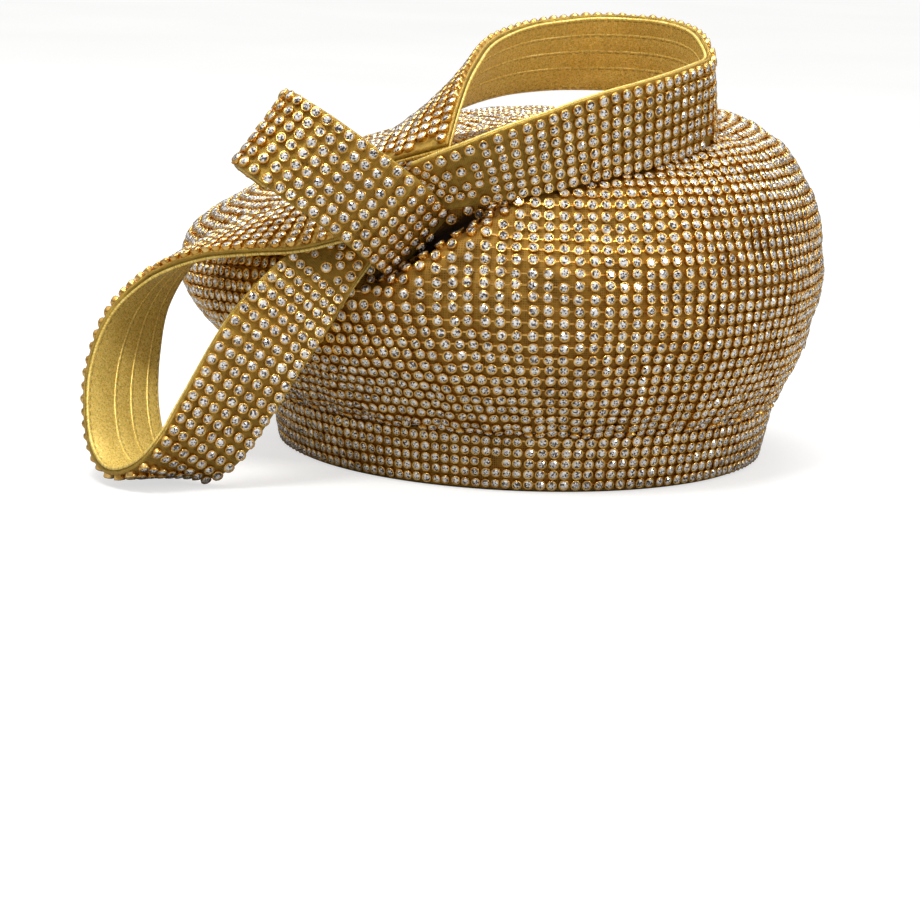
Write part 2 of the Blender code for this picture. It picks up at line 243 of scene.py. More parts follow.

# %% [markdown]
# ## The finishes
#
# Eight finishes cover the hat: the gold cloth of the crown and that of the band, the crown's lining, the ribbon
# inside the headband, the brighter cloth that lines the bow, its pale sewing thread, the metal of the cups, and
# the stones. Each is a Principled shader. What is the same all over is set on its sockets, and only what
# changes over the cloth comes from nodes.

# %% Functions for materials
# The deepest and lightest threads as shares of a cloth's two colours, the painted shade in the fold taking the
# cloth down to the deepest, and how high threads and foil stand
DEEPEST, LIGHTEST = 0.10, 1.25
CLOTH_RELIEF, LAME_RELIEF = 0.00012, 0.00018


def new_material(name, roughness, metallic, **sockets):
    """A material with its node tree and Principled shader, and its constant values set on the shader."""
    material = bpy.data.materials.new(name)
    material.use_nodes = True
    tree = material.node_tree
    shader = tree.nodes["Principled BSDF"]
    shader.inputs["Roughness"].default_value = roughness
    shader.inputs["Metallic"].default_value = metallic
    for label, value in sockets.items():
        shader.inputs[label.replace("_", " ")].default_value = value
    return material, tree, shader


def place_group(tree, group, source, **values):
    """A node group placed in a material, fed by a coordinate socket, with its own values."""
    node = add_node(tree, "ShaderNodeGroup", node_tree=group)
    tree.links.new(source, node.inputs["Vector"])
    for label, value in values.items():
        node.inputs[label.replace("_", " ")].default_value = value
    return node


def colour_between(tree, amount, stops):
    """A colour ramp driven by a value, with a colour at each of its stops."""
    ramp = add_node(tree, "ShaderNodeValToRGB")
    tree.links.new(amount, ramp.inputs[0])
    while len(ramp.color_ramp.elements) < len(stops):
        ramp.color_ramp.elements.new(0.5)
    for element, (position, colour) in zip(ramp.color_ramp.elements, stops):
        element.position = position
        element.color = (*colour, 1.0)
    return ramp.outputs[0]


def bump(tree, shader, height_socket, distance):
    """A Bump node that turns a height into the shader's normal."""
    node = add_node(tree, "ShaderNodeBump")
    node.inputs["Distance"].default_value = distance
    tree.links.new(height_socket, node.inputs["Height"])
    tree.links.new(node.outputs[0], shader.inputs["Normal"])


def painted_fold_shade(tree, value):
    """The value with painted shade: less where the piece's in_fold attribute says that it is in a fold."""
    node = add_node(tree, "ShaderNodeGroup", node_tree=fold_group)
    tree.links.new(value, node.inputs["Value"])
    depth = add_node(tree, "ShaderNodeAttribute", attribute_name="in_fold")
    tree.links.new(depth.outputs["Fac"], node.inputs["In fold"])
    return node.outputs["Value"]


def gold_cloth(name, dark, light, flakes, thread, roughness=0.42, metallic=0.75):
    """Cloth of gold threads: a weave for its height, and foil flakes that shade it between two colours."""
    material, tree, shader = new_material(name, roughness, metallic)
    chart = add_node(tree, "ShaderNodeTexCoord")
    weave = place_group(tree, weave_group, chart.outputs["UV"], Thread=thread)
    foil = place_group(tree, foil_group, chart.outputs["Object"], Flakes_per_metre=flakes)
    mixed = calculate(tree, "MULTIPLY_ADD", weave.outputs["Shade"], 0.18, foil.outputs["Uneven"])
    # Painted shade in the fold darkens the cloth's colour
    shade = painted_fold_shade(tree, calculate(tree, "MULTIPLY_ADD", foil.outputs["Flake"], 0.25, mixed))
    deepest = tuple(DEEPEST * part for part in dark)
    lightest = tuple(min(1.0, LIGHTEST * part) for part in light)
    stops = ((0.05, deepest), (0.30, dark), (0.62, light), (0.95, lightest))
    tree.links.new(colour_between(tree, shade, stops), shader.inputs["Base Color"])
    relief = calculate(tree, "MULTIPLY_ADD", foil.outputs["Height"], 0.8, weave.outputs["Height"])
    bump(tree, shader, relief, CLOTH_RELIEF)
    return material


# %% The cloth finishes
crown_cloth_finish, band_cloth_finish, ribbon_finish, crown_lining_finish = (
    gold_cloth(*look)
    for look in (
        ("gold mesh cloth", (0.055, 0.024, 0.003), (0.290, 0.155, 0.022), 900.0, 0.0008),
        ("gold band cloth", (0.105, 0.060, 0.009), (0.385, 0.245, 0.042), 1200.0, 0.0006),
        ("ribbed inner ribbon", (0.30, 0.22, 0.11), (0.55, 0.43, 0.24), 500.0, 0.0009, 0.6, 0.0),
        ("inner lining", (0.34, 0.24, 0.10), (0.62, 0.48, 0.24), 300.0, 0.0005, 0.5, 0.1),
    )
)

lame_finish, tree, shader = new_material("gold lame lining", 0.40, 0.35)
chart = add_node(tree, "ShaderNodeTexCoord")
foil = place_group(tree, foil_group, chart.outputs["UV"], Flakes_per_metre=3600.0)
lame_shade = calculate(tree, "MULTIPLY_ADD", foil.outputs["Flake"], 0.35, foil.outputs["Uneven"])
lame_stops = ((0.30, (0.62, 0.42, 0.070)), (0.62, (0.80, 0.56, 0.110)), (0.98, (1.0, 0.82, 0.30)))
tree.links.new(colour_between(tree, lame_shade, lame_stops), shader.inputs["Base Color"])
lame_rough = calculate(tree, "MULTIPLY_ADD", foil.outputs["Flake"], 0.25, 0.22)
tree.links.new(lame_rough, shader.inputs["Roughness"])
bump(tree, shader, foil.outputs["Height"], LAME_RELIEF)

thread_finish, tree, shader = new_material("pale gold thread", 0.5, 0.3)
chart = add_node(tree, "ShaderNodeTexCoord")
twist = place_group(tree, weave_group, chart.outputs["Object"], Thread=0.0007)
thread_stops = ((0.2, (0.20, 0.13, 0.035)), (0.9, (0.50, 0.36, 0.11)))
tree.links.new(colour_between(tree, twist.outputs["Height"], thread_stops), shader.inputs["Base Color"])
print("finishes so far:", len(bpy.data.materials))

# %% [markdown]
# ### Metal cups and clear stones
#
# The cups are pressed from thin plated metal, a little uneven in colour where the plating is thicker. A real
# stone is clear glass with foil behind it, and what the eye sees in it is a pattern of small mirrors, some
# bright and some dark. Real refraction through thousands of tiny stones would be slow and noisy, so each facet
# is a mirror of its own, and a number stored on the facet says how much light it sends back: a painted
# reflection, set into the facet's colour from near black to white.

# %% The cup and stone finishes
cup_finish, tree, shader = new_material("plated cup metal", 0.27, 1.0)
chart = add_node(tree, "ShaderNodeTexCoord")
plating = place_group(tree, foil_group, chart.outputs["Object"], Flakes_per_metre=700.0)
plating_stops = (
    (0.05, (0.03, 0.015, 0.004)),
    (0.28, (0.52, 0.27, 0.05)),
    (0.55, (0.84, 0.51, 0.14)),
    (0.8, (1.0, 0.76, 0.31)),
)
# The painted shade in the fold darkens the cups' colour, down to the near-black first stop
plating_shade = painted_fold_shade(tree, plating.outputs["Uneven"])
tree.links.new(colour_between(tree, plating_shade, plating_stops), shader.inputs["Base Color"])

stone_finish, tree, shader = new_material(
    "clear cut stone", 0.08, 0.45, Coat_Weight=1.0, Coat_Roughness=0.02, Specular_IOR_Level=0.8
)
# Each facet's colour, from near black to white, is a painted reflection of the stone's inner facets
facet = add_node(tree, "ShaderNodeAttribute", attribute_name="facet_light")
facet_stops = (
    (0.0, (0.020, 0.016, 0.018)),
    (0.32, (0.11, 0.09, 0.10)),
    (0.46, (0.74, 0.71, 0.70)),
    (0.72, (1.0, 0.99, 0.98)),
)
tree.links.new(colour_between(tree, facet.outputs["Fac"], facet_stops), shader.inputs["Base Color"])
print("finishes in all:", len(bpy.data.materials))

# %% [markdown]
# ## The crown's form
#
# A puffed crown is a set of level rings, each an oval that is drawn in or let out at the right, left, front and
# back. A smooth curve through the rings gives every height between them. The same table shapes the solid that
# the hat rests on, so the cloth lies exactly where the solid says.

# %% The crown's sizes
HEAD_WIDTH, HEAD_LENGTH = 0.170, 0.198
HEADBAND_HEIGHT, HEADBAND_WALL, HEADBAND_FLARE = 0.021, 0.0026, 0.0045
CROWN_RIGHT, CROWN_LEFT, CROWN_FRONT, CROWN_BACK = 0.1080, 0.1265, 0.126, 0.125
CROWN_HEIGHT, CROWN_WALL = 0.120, 0.0026
SEAM_GAP = 0.0003
# Heights at the right, left, front and back, then reaches at the same four places, ring by ring upwards
CROWN_TABLE = (
    (0.220, 0.225, 0.220, 0.220, 0.880, 0.770, 0.885, 0.885),
    (0.310, 0.305, 0.310, 0.310, 0.930, 0.845, 0.935, 0.935),
    (0.425, 0.395, 0.415, 0.415, 0.970, 0.935, 0.980, 0.980),
    (0.550, 0.495, 0.530, 0.530, 0.995, 0.995, 1.000, 1.000),
    (0.670, 0.585, 0.650, 0.660, 0.990, 0.995, 0.990, 0.990),
    (0.790, 0.660, 0.765, 0.780, 0.960, 0.940, 0.945, 0.950),
    (0.890, 0.725, 0.865, 0.880, 0.905, 0.845, 0.870, 0.880),
    (0.970, 0.780, 0.935, 0.945, 0.820, 0.725, 0.760, 0.780),
    (1.025, 0.832, 0.975, 0.980, 0.695, 0.575, 0.610, 0.630),
    (1.050, 0.890, 0.990, 0.985, 0.500, 0.385, 0.420, 0.440),
    (1.020, 0.935, 0.990, 0.985, 0.255, 0.195, 0.215, 0.225),
)
APEX_HIGH = 0.980
# Folds by the bow: angle and ring at each end, then depth and half width as shares of the deepest fold's
FOLD_DEPTH, FOLD_WIDTH, FOLD_END, FOLD_SAMPLES = 0.0065, 0.0055, 0.12, 13
FOLDS = (
    (263.0, 6.85, 245.5, 4.95, 1.00, 1.00),
    (262.0, 6.30, 292.0, 5.90, 0.34, 1.36),
    (236.0, 6.60, 205.0, 5.10, 0.46, 1.45),
)
# Softer creases of the cloth itself, raised where the depth is negative
CREASES = (
    (268.0, 6.00, 300.0, 4.60, 0.17, 1.10),
    (266.0, 5.30, 285.0, 3.30, 0.15, 1.10),
    (281.0, 4.10, 303.0, 2.60, 0.14, 0.90),
    (258.0, 4.90, 262.0, 2.90, 0.14, 0.90),
    (268.5, 6.70, 251.0, 4.55, -0.36, 1.00),
    (232.0, 7.00, 214.0, 7.60, 0.18, 1.10),
)
# The sharp bottom of the deepest fold, right beside the knot
CREVICE = (260.0, 6.62, 245.0, 4.70, 0.60, 0.60)
# Where in the deepest fold the painted shade starts, and how much deeper it is darkest
FOLD_SHADE_FROM, FOLD_SHADE_SPAN = 0.35, 0.75
GATHER_HIGH, SWELL_HIGH, FINE_HIGH = 0.0008, 0.00055, 0.00025
WIDEST_LEVEL = 4.0
TOP_LEVEL = len(CROWN_TABLE) + 1


# %% The crown as a function of angle and level
def unit(vectors):
    """The same directions, each one long."""
    return vectors / np.linalg.norm(vectors, axis=-1, keepdims=True)


def run_along(points):
    """How far each point of a line lies from its first, measured along the line."""
    return np.concatenate([[0], np.cumsum(np.linalg.norm(np.diff(points, axis=0), axis=-1))])


def smooth_line(rows, places, *columns):
    """Catmull-Rom: between two rows a cubic whose slope at each row is half the step between its neighbours. Each
    place may have a column of its own in the rows."""
    last = len(rows) - 1
    first = np.clip(np.floor(places).astype(int), 0, last - 1)
    part = (places - first)[:, None]
    before, start, end, after = (rows[(np.clip(first + step, 0, last), *columns)] for step in (-1, 0, 1, 2))
    return 0.5 * (
        2 * start
        + (end - before) * part
        + (2 * before - 5 * start + 4 * end - after) * part**2
        + (3 * start - before - 3 * end + after) * part**3
    )


def headband_oval(turns, grow):
    """The head opening's oval, moved outwards: half its width by the cosine, half its length by the sine."""
    wide, long = HEAD_WIDTH / 2 + grow, HEAD_LENGTH / 2 + grow
    return np.stack([wide * np.cos(turns), long * np.sin(turns), np.zeros_like(turns)], -1)


def crown_form(turns, levels):
    """The smooth crown at pairs of angle and level: each ring's reaches and heights blended round the hat by
    the cosine and sine of the angle, then a smooth curve through the rings at the level."""
    turns, levels = np.broadcast_arrays(turns, levels)
    shape = turns.shape
    turns, levels = turns.ravel(), levels.ravel()
    sides = np.stack([np.cos(turns), -np.cos(turns), -np.sin(turns), np.sin(turns)], -1).clip(0)
    table = np.array(CROWN_TABLE)
    high = (table[:, None, :4] * sides**2).sum(-1) * CROWN_HEIGHT
    out = table[:, None, 4:] * [CROWN_RIGHT, CROWN_LEFT, CROWN_FRONT, CROWN_BACK] * sides
    rings = np.stack([out[..., 0] - out[..., 1], out[..., 3] - out[..., 2], high], -1)
    foot = headband_oval(turns, HEADBAND_WALL + HEADBAND_FLARE)
    foot[:, 2] = HEADBAND_HEIGHT + SEAM_GAP
    apex = np.broadcast_to([0.0, 0.0, APEX_HIGH * CROWN_HEIGHT], foot.shape)
    rings = np.concatenate([foot[None], rings, apex[None]])
    return smooth_line(rings, levels, np.arange(len(turns))).reshape(shape + (3,))


def normals_of(surface, turns, levels):
    """Outward normals of a surface of angle and level: the cross product of its steps round and up."""
    near = 0.01
    around = surface(turns + near, levels) - surface(turns - near, levels)
    upwards = surface(turns, levels + near) - surface(turns, levels - near)
    normals = np.cross(around, upwards)
    return normals / np.maximum(np.linalg.norm(normals, axis=-1, keepdims=True), 1e-12)


def pressed_in(points, creases):
    """How deep the creases press the cloth in: each falls off as a bell curve away from its line."""
    depth = np.zeros(points.shape[:-1])
    for turn_from, level_from, turn_to, level_to, deep, wide in creases:
        turns = np.radians(np.linspace(turn_from, turn_to, FOLD_SAMPLES))
        line = crown_form(turns, np.linspace(level_from, level_to, FOLD_SAMPLES))
        away = np.linalg.norm(points[..., None, :] - line, axis=-1)
        nearest = away.argmin(axis=-1) / (len(line) - 1)
        fade = np.sqrt(np.sin(np.pi * (FOLD_END + (1 - 2 * FOLD_END) * nearest)))
        depth += deep * FOLD_DEPTH * fade * np.exp(-((away.min(axis=-1) / (wide * FOLD_WIDTH)) ** 2))
    return depth


def fold_share(turns, levels):
    """How deep in the fold by the knot the cloth is at these places: 0 where it is open, 1 at the bottom."""
    pressed = pressed_in(crown_form(turns, levels), (FOLDS[0], CREVICE))
    return np.clip((pressed / FOLD_DEPTH - FOLD_SHADE_FROM) / FOLD_SHADE_SPAN, 0, 1)


def puckers(turns, levels):
    """Small waves of loose cloth: gathers that fade upwards from the headband, and slow swells higher up."""
    gathers = np.sin(41 * turns + 1.3 * np.sin(7 * turns))
    gathers = gathers * np.exp(-levels / 1.3) * np.minimum(levels * 3, 1.0)
    swells = np.sin(9 * turns + 2.1 * levels) * np.sin(5 * turns - 1.4 * levels + 1.0)
    fine = np.sin(23 * turns + 3.7 * levels) * np.sin(3.1 * levels - 6 * turns)
    return GATHER_HIGH * gathers + (SWELL_HIGH * swells + FINE_HIGH * fine) * np.minimum(levels, 1.0)


def crown_cloth(turns, levels):
    """The crown's outside as sewn: the smooth form, less its folds and creases, plus its puckers."""
    turns, levels = np.broadcast_arrays(turns, levels)
    points = crown_form(turns, levels)
    calm = np.clip((TOP_LEVEL - levels) / 2.0, 0, 1)
    relief = puckers(turns, levels) * calm - pressed_in(points, FOLDS + CREASES + (CREVICE,))
    return points + relief[..., None] * normals_of(crown_form, turns, levels)


sample = crown_cloth(np.radians([0.0, 90.0, 180.0, 270.0]), np.full(4, WIDEST_LEVEL))
print("widest ring, right, back, left and front, in mm:", np.round(1000 * sample, 1).tolist())

# %% [markdown]
# ## The crown's cloth and lining
#
# The crown is one bag of cloth with a wall. A modifier could thicken a single sheet, but the foot of the wall
# must meet the headband, so the outside and the inside are two grids, joined along the foot.

# %% Build the crown's outside and its lining
CROWN_COLUMNS, CROWN_ROWS = 240, 132
CLOTH_WALL, LINING_FROM, TOP_GAP = 0.0014, 0.0016, 0.02
# How long the UV map takes the way round the crown and round the headband to be
CROWN_ROUND, HEADBAND_ROUND = 0.75, 0.60


def crown_shell(name, outer_depth, inner_depth, material, *nodes):
    """A closed bag between two depths under the crown's surface: down its inside and up its outside."""
    turns = np.arange(CROWN_COLUMNS) * 2 * np.pi / CROWN_COLUMNS
    levels = np.linspace(0.0, TOP_LEVEL - TOP_GAP, CROWN_ROWS)
    around, up = np.meshgrid(turns, levels)
    outside = crown_cloth(around, up)
    normals = normals_of(crown_form, around, up)
    normals[0, :, 2] = 0.0
    normals[0] = unit(normals[0])
    outer = outside - outer_depth * normals
    inner = outside - inner_depth * normals
    inner[0, :, 2] = outer[0, :, 2]
    rings = np.concatenate([inner[::-1], outer])
    run = np.concatenate([[0], np.cumsum(np.linalg.norm(np.diff(rings, axis=0), axis=-1).mean(1))])
    corners, at_row, at_column = grid_corners(len(rings), CROWN_COLUMNS, close_columns=True)
    uvs = np.stack([at_column * CROWN_ROUND / CROWN_COLUMNS, run[at_row]], -1)
    ends = np.arange(CROWN_COLUMNS)
    last = (len(rings) - 1) * CROWN_COLUMNS
    corners = np.concatenate([corners, ends[::-1], last + ends])
    cap_uvs = np.concatenate([np.zeros((CROWN_COLUMNS, 2)), np.full((CROWN_COLUMNS, 2), run[-1])])
    uvs = np.concatenate([uvs, cap_uvs])
    quads = (len(rings) - 1) * CROWN_COLUMNS
    sizes = np.concatenate([np.full(quads, 4), [CROWN_COLUMNS, CROWN_COLUMNS]])
    piece = make_piece(name, rings.reshape(-1, 3), corners, sizes, uvs)
    # How deep in the fold each point lies, stored for the painted shade in the fold
    in_fold = fold_share(around, up)
    in_fold = np.concatenate([in_fold[::-1], in_fold]).ravel()
    piece.data.attributes.new("in_fold", "FLOAT", "POINT").data.foreach_set("value", in_fold)
    finish_piece(piece, material, "crown_stones", *nodes)


crown_shell("crown_cloth", 0.0, CLOTH_WALL, crown_cloth_finish, "crown")
crown_shell("crown_lining", LINING_FROM, CROWN_WALL, crown_lining_finish)

# %% [markdown]
# ## The headband
#
# Under the crown stands a firm band. Its lower edge is rolled, and on the inside a ribbed ribbon keeps the hat
# on the head. Each is a small profile carried round the head opening's oval.

# %% Build the headband and its inner ribbon
def carried_round(name, profile, material, slot, *nodes):
    """A ring round the head opening with this profile: pairs of how far out from the opening and how high."""
    turns = np.arange(CROWN_COLUMNS) * 2 * np.pi / CROWN_COLUMNS
    rings = []
    for out, high in profile:
        ring = headband_oval(turns, out + HEADBAND_FLARE * high / HEADBAND_HEIGHT)
        ring[:, 2] = high
        rings.append(ring)
    rings = np.array(rings)
    run = np.append(run_along(np.array(profile)), 0)
    corners, at_row, at_column = grid_corners(len(rings), CROWN_COLUMNS, close_rows=True, close_columns=True)
    uvs = np.stack([at_column * HEADBAND_ROUND / CROWN_COLUMNS, run[at_row]], -1)
    piece = make_piece(name, rings.reshape(-1, 3), corners, np.full(len(corners) // 4, 4), uvs)
    finish_piece(piece, material, slot, *nodes)


BAND_FACE = HEADBAND_WALL + 0.0002
HEADBAND_PROFILE = (
    (0.0009, 0.0004), (0.0016, 0.0), (0.0024, 0.0001), (0.0029, 0.0007), (0.0028, 0.0014),
    (BAND_FACE, 0.0019), (BAND_FACE, 0.0060), (BAND_FACE, 0.0110), (BAND_FACE, 0.0160), (BAND_FACE, 0.0195),
    (0.0026, 0.0208), (0.0018, 0.0211), (0.0011, 0.0206), (0.0010, 0.0140), (0.0010, 0.0070),
)
RIBBON_PROFILE = (
    (0.0000, 0.0022), (0.0003, 0.0016), (0.0008, 0.0016), (0.0009, 0.0060), (0.0009, 0.0130),
    (0.0009, 0.0196), (0.0004, 0.0203), (0.0000, 0.0197), (-0.0001, 0.0130), (-0.0001, 0.0070),
)
carried_round("headband_cloth", HEADBAND_PROFILE, crown_cloth_finish, "crown_stones", "headband")
carried_round("inner_ribbon", RIBBON_PROFILE, ribbon_finish, "crown_stones")

# %% [markdown]
# ## The bow's band
#
# The bow is one wide band. Its path goes through a few stations, each with a place and the direction across the
# band there. Between the stations a smooth curve carries both, and the path is then divided evenly, so that
# stones and stitches can be set at even distances along it.

# %% The band's sizes and stations
BAND_WIDTH, BAND_THICKNESS, LINING_THICKNESS = 0.032, 0.0016, 0.0010
KNOT_TURN, KNOT_LEVEL = 247.0, 6.1
LOWER_SPAN = (0.095, 0.040, 0.086)
UPPER_SPAN = (0.107, 0.097, 0.056)
KNOT_SPAN = (0.044, 0.018, 0.034)
# Each station: side, sway and height as shares of the span, the direction across the band, and its width's share
LOWER_LOOP_STATIONS = (
    (-0.170, 0.050, 0.035, 0.00, 0.83, 0.55, 0.78),
    (-0.305, 0.140, -0.010, 0.14, 0.86, 0.48, 0.92),
    (-0.440, 0.300, -0.045, 0.30, 0.87, 0.38, 1.00),
    (-0.630, 0.560, -0.110, 0.38, 0.88, 0.27, 1.00),
    (-0.800, 0.780, -0.220, 0.38, 0.91, 0.13, 1.00),
    (-0.920, 0.860, -0.385, 0.44, 0.89, -0.05, 1.00),
    (-0.975, 0.770, -0.570, 0.58, 0.80, -0.14, 1.00),
    (-0.985, 0.540, -0.760, 0.68, 0.71, -0.16, 1.00),
    (-0.945, 0.220, -0.925, 0.74, 0.66, -0.11, 1.00),
    (-0.865, -0.130, -1.000, 0.79, 0.61, -0.03, 1.00),
    (-0.765, -0.360, -0.980, 0.80, 0.59, -0.09, 1.00),
    (-0.665, -0.430, -0.895, 0.80, 0.54, -0.24, 1.00),
    (-0.585, -0.400, -0.765, 0.81, 0.44, -0.38, 1.00),
    (-0.445, -0.310, -0.490, 0.84, 0.20, -0.50, 0.98),
    (-0.355, -0.210, -0.345, 0.84, 0.05, -0.54, 0.92),
    (-0.250, -0.120, -0.200, 0.84, -0.22, -0.48, 0.78),
)
UPPER_LOOP_STATIONS = (
    (1.000, 0.620, 0.875, 0.13, 0.27, -0.95, 1.00),
    (0.970, 0.775, 0.945, 0.22, 0.34, -0.91, 1.00),
    (0.895, 0.900, 0.985, 0.22, 0.42, -0.88, 1.00),
    (0.785, 0.980, 1.000, 0.14, 0.49, -0.86, 1.00),
    (0.650, 1.000, 1.000, 0.02, 0.52, -0.86, 1.00),
    (0.515, 0.975, 0.985, -0.13, 0.54, -0.83, 1.00),
    (0.385, 0.895, 0.955, -0.26, 0.51, -0.82, 1.00),
    (0.290, 0.775, 0.910, -0.35, 0.47, -0.81, 1.00),
    (0.215, 0.630, 0.850, -0.43, 0.43, -0.79, 1.00),
    (0.160, 0.465, 0.770, -0.55, 0.41, -0.73, 1.00),
    (0.110, 0.300, 0.690, -0.69, 0.40, -0.60, 1.00),
    (0.075, 0.135, 0.585, -0.80, 0.39, -0.45, 0.97),
    (0.050, -0.015, 0.440, -0.88, 0.37, -0.29, 0.90),
)
KNOT_STATIONS = (
    (0.050, -0.680, 0.060, 0.62, 0.04, 0.78, 1.00),
    (-0.110, -0.930, 0.235, 0.63, 0.08, 0.77, 1.00),
    (-0.340, -0.990, 0.445, 0.63, 0.10, 0.77, 1.00),
    (-0.630, -0.930, 0.690, 0.61, 0.16, 0.77, 1.00),
    (-0.815, -0.790, 0.830, 0.58, 0.24, 0.77, 1.00),
    (-0.945, -0.510, 0.915, 0.55, 0.32, 0.76, 1.00),
    (-1.005, -0.110, 0.915, 0.52, 0.38, 0.75, 1.00),
    (-0.960, 0.260, 0.830, 0.50, 0.40, 0.75, 1.00),
    (-0.850, 0.520, 0.700, 0.50, 0.40, 0.75, 1.00),
)
# Where a band lies or stands on the crown: angle, level, direction across the band, and its width's share
UPPER_LOOP_STANDING = (
    (254.5, 6.50, 0.62, 0.26, -0.72, 0.60),
    (260.5, 6.62, 0.30, 0.42, -0.85, 0.73),
    (267.5, 6.82, 0.20, 0.38, -0.90, 0.83),
    (274.5, 7.05, 0.16, 0.31, -0.94, 0.88),
    (285.0, 7.46, 0.09, 0.27, -0.96, 0.95),
    (298.0, 7.86, 0.05, 0.25, -0.97, 0.99),
    (311.0, 8.27, 0.04, 0.24, -0.97, 1.00),
    (319.5, 8.53, 0.06, 0.23, -0.97, 1.00),
)
LOWER_START = (247.5, 6.60, 0.05, 0.60, 0.80, 0.58)
LOWER_END = (243.5, 5.65, 0.80, -0.40, -0.45, 0.50)
# The knot's end is tucked into the fold beside it: angle, level, depth under the crown, direction and width
KNOT_TUCKED = (251.6, 5.78, -0.0070, 0.60, 0.00, 0.80, 0.94)


# %% The paths of the three bands
def crown_places(turns, levels):
    """Points on the smooth crown at angles in degrees and levels, with their normals."""
    turns, levels = np.radians(np.asarray(turns, float)), np.asarray(levels, float)
    return crown_form(turns, levels), normals_of(crown_form, turns, levels)


def lying_station(place_on_crown):
    """A station whose band lies flat on the crown, lifted by its lining and half its own thickness."""
    turn_there, level_there, *direction, wide = place_on_crown
    points, normals = crown_places([turn_there], [level_there])
    across = np.array(direction) - np.dot(direction, normals[0]) * normals[0]
    lift = 2 * SEAM_GAP + LINING_THICKNESS + BAND_THICKNESS / 2
    return np.concatenate([points[0] + lift * normals[0], across / np.linalg.norm(across), [wide]])[None]


def tucked_station(place_in_fold):
    """A station sunk under the crown's smooth form, where a band goes down into a fold."""
    turn_there, level_there, rise, *rest = place_in_fold
    points, normals = crown_places([turn_there], [level_there])
    return np.concatenate([points[0] + rise * normals[0], rest])[None]


def standing_stations(rows):
    """Stations of a band that stands on the crown on its inner edge, half its width above that edge."""
    rows = np.array(rows)
    points, normals = crown_places(rows[:, 0], rows[:, 1])
    across = unit(rows[:, 2:5])
    out = unit(np.cross(across, np.gradient(points, axis=0)))
    reach = BAND_THICKNESS / 2 + SEAM_GAP + LINING_THICKNESS
    lift = SEAM_GAP + reach * np.abs((out * normals).sum(1, keepdims=True))
    wide = rows[:, 5:6]
    return np.hstack([points + lift * normals - across * wide * BAND_WIDTH / 2, across, wide])


def free_stations(stations, span):
    """Stations in the air: the knot's place on the crown plus shares of the span."""
    rows = np.array(stations)
    rows[:, :3] = crown_places([KNOT_TURN], [KNOT_LEVEL])[0][0] + rows[:, :3] * span
    return rows


class BandPath:
    """A band's path, divided evenly: its middle points, the directions along, across and out of it, its width
    at each point, and the distance from its start."""

    def __init__(self, stations, step):
        places = np.linspace(0, len(stations) - 1, 12 * len(stations))
        fine = smooth_line(stations, places)
        run = run_along(fine[:, :3])
        self.length = run[-1]
        self.distance = np.linspace(0, run[-1], int(run[-1] / step) + 1)
        fine = smooth_line(stations, np.interp(self.distance, run, places))
        self.middle, self.width = fine[:, :3], fine[:, 6] * BAND_WIDTH
        self.along = unit(np.gradient(self.middle, axis=0))
        self.across = unit(fine[:, 3:6] - (fine[:, 3:6] * self.along).sum(1, keepdims=True) * self.along)
        self.out = np.cross(self.across, self.along)

    def at(self, distances):
        """Middle, along, across, out and width, read between the even points."""
        place_in = np.interp(distances, self.distance, np.arange(len(self.distance)))
        low = np.clip(place_in.astype(int), 0, len(self.distance) - 2)
        part = (place_in - low)[:, None]
        blend = [
            values[low] * (1 - part) + values[low + 1] * part
            for values in (self.middle, self.along, self.across, self.out)
        ]
        width = self.width[low] * (1 - part[:, 0]) + self.width[low + 1] * part[:, 0]
        return (*blend, width)


PATH_STEP = 0.0012
lower_free = free_stations(LOWER_LOOP_STATIONS, LOWER_SPAN)
lower_rows = [lying_station(LOWER_START), lower_free, lying_station(LOWER_END)]
upper_rows = [standing_stations(UPPER_LOOP_STANDING), free_stations(UPPER_LOOP_STATIONS, UPPER_SPAN)]
knot_rows = [tucked_station(KNOT_TUCKED), free_stations(KNOT_STATIONS, KNOT_SPAN)]
lower_path, upper_path, knot_path = (
    BandPath(np.concatenate(rows), PATH_STEP) for rows in (lower_rows, upper_rows, knot_rows)
)
for name, path in (("lower loop", lower_path), ("upper loop", upper_path), ("knot", knot_path)):
    print(name, "length in mm:", round(1000 * path.length, 1))

# %% [markdown]
# ## The band's cloth and its lining
#
# Seen from its edge, the band shows its layers: the cloth with the stones, a filler, and the lining folded
# over. So each layer is a closed profile carried along the path, with rounded edges and a groove where the
# layers meet. The lining is sewn from four overlapping strips. Each overlap is a small step in the profile,
# where the folded edge of one strip lies on the next and catches the light.

# %% Profiles carried along a path
MM = 0.001


def carried_along(name, path, profile, material, slot, *nodes):
    """A closed loft: each profile point is a share of the half width, then in millimetres a distance added to it
    and a rise out of the band, in the path's own directions. Both ends are closed with one face."""
    share, extra, rise = (np.array(column, float) for column in zip(*profile))
    extra, rise = extra * MM, rise * MM
    side = share * path.width[:, None] / 2 + extra
    points = (
        path.middle[:, None]
        + side[..., None] * path.across[:, None]
        + np.broadcast_to(rise, side.shape)[..., None] * path.out[:, None]
    )
    rows, columns = side.shape
    corners, at_row, at_column = grid_corners(rows, columns, close_columns=True)
    spread = np.concatenate([share * BAND_WIDTH / 2 + extra, [share[0] * BAND_WIDTH / 2 + extra[0]]])
    uvs = np.stack([path.distance[at_row], spread[at_column]], -1)
    first, last = np.arange(columns)[::-1], (rows - 1) * columns + np.arange(columns)
    corners = np.concatenate([corners, first, last])
    end_uvs = np.stack([np.zeros(2 * columns), np.concatenate([spread[:-1][::-1], spread[:-1]])], -1)
    sizes = np.concatenate([np.full((rows - 1) * columns, 4), [columns, columns]])
    piece = make_piece(name, points.reshape(-1, 3), corners, sizes, np.concatenate([uvs, end_uvs]))
    finish_piece(piece, material, slot, *nodes)


HALF = BAND_THICKNESS / MM / 2
# In millimetres: how far in from a seam and from an edge the stitches lie, and how far over the lining's depth
STITCH_FROM_SEAM, STITCH_FROM_EDGE, STITCH_RISE = 0.95, 1.30, 0.13
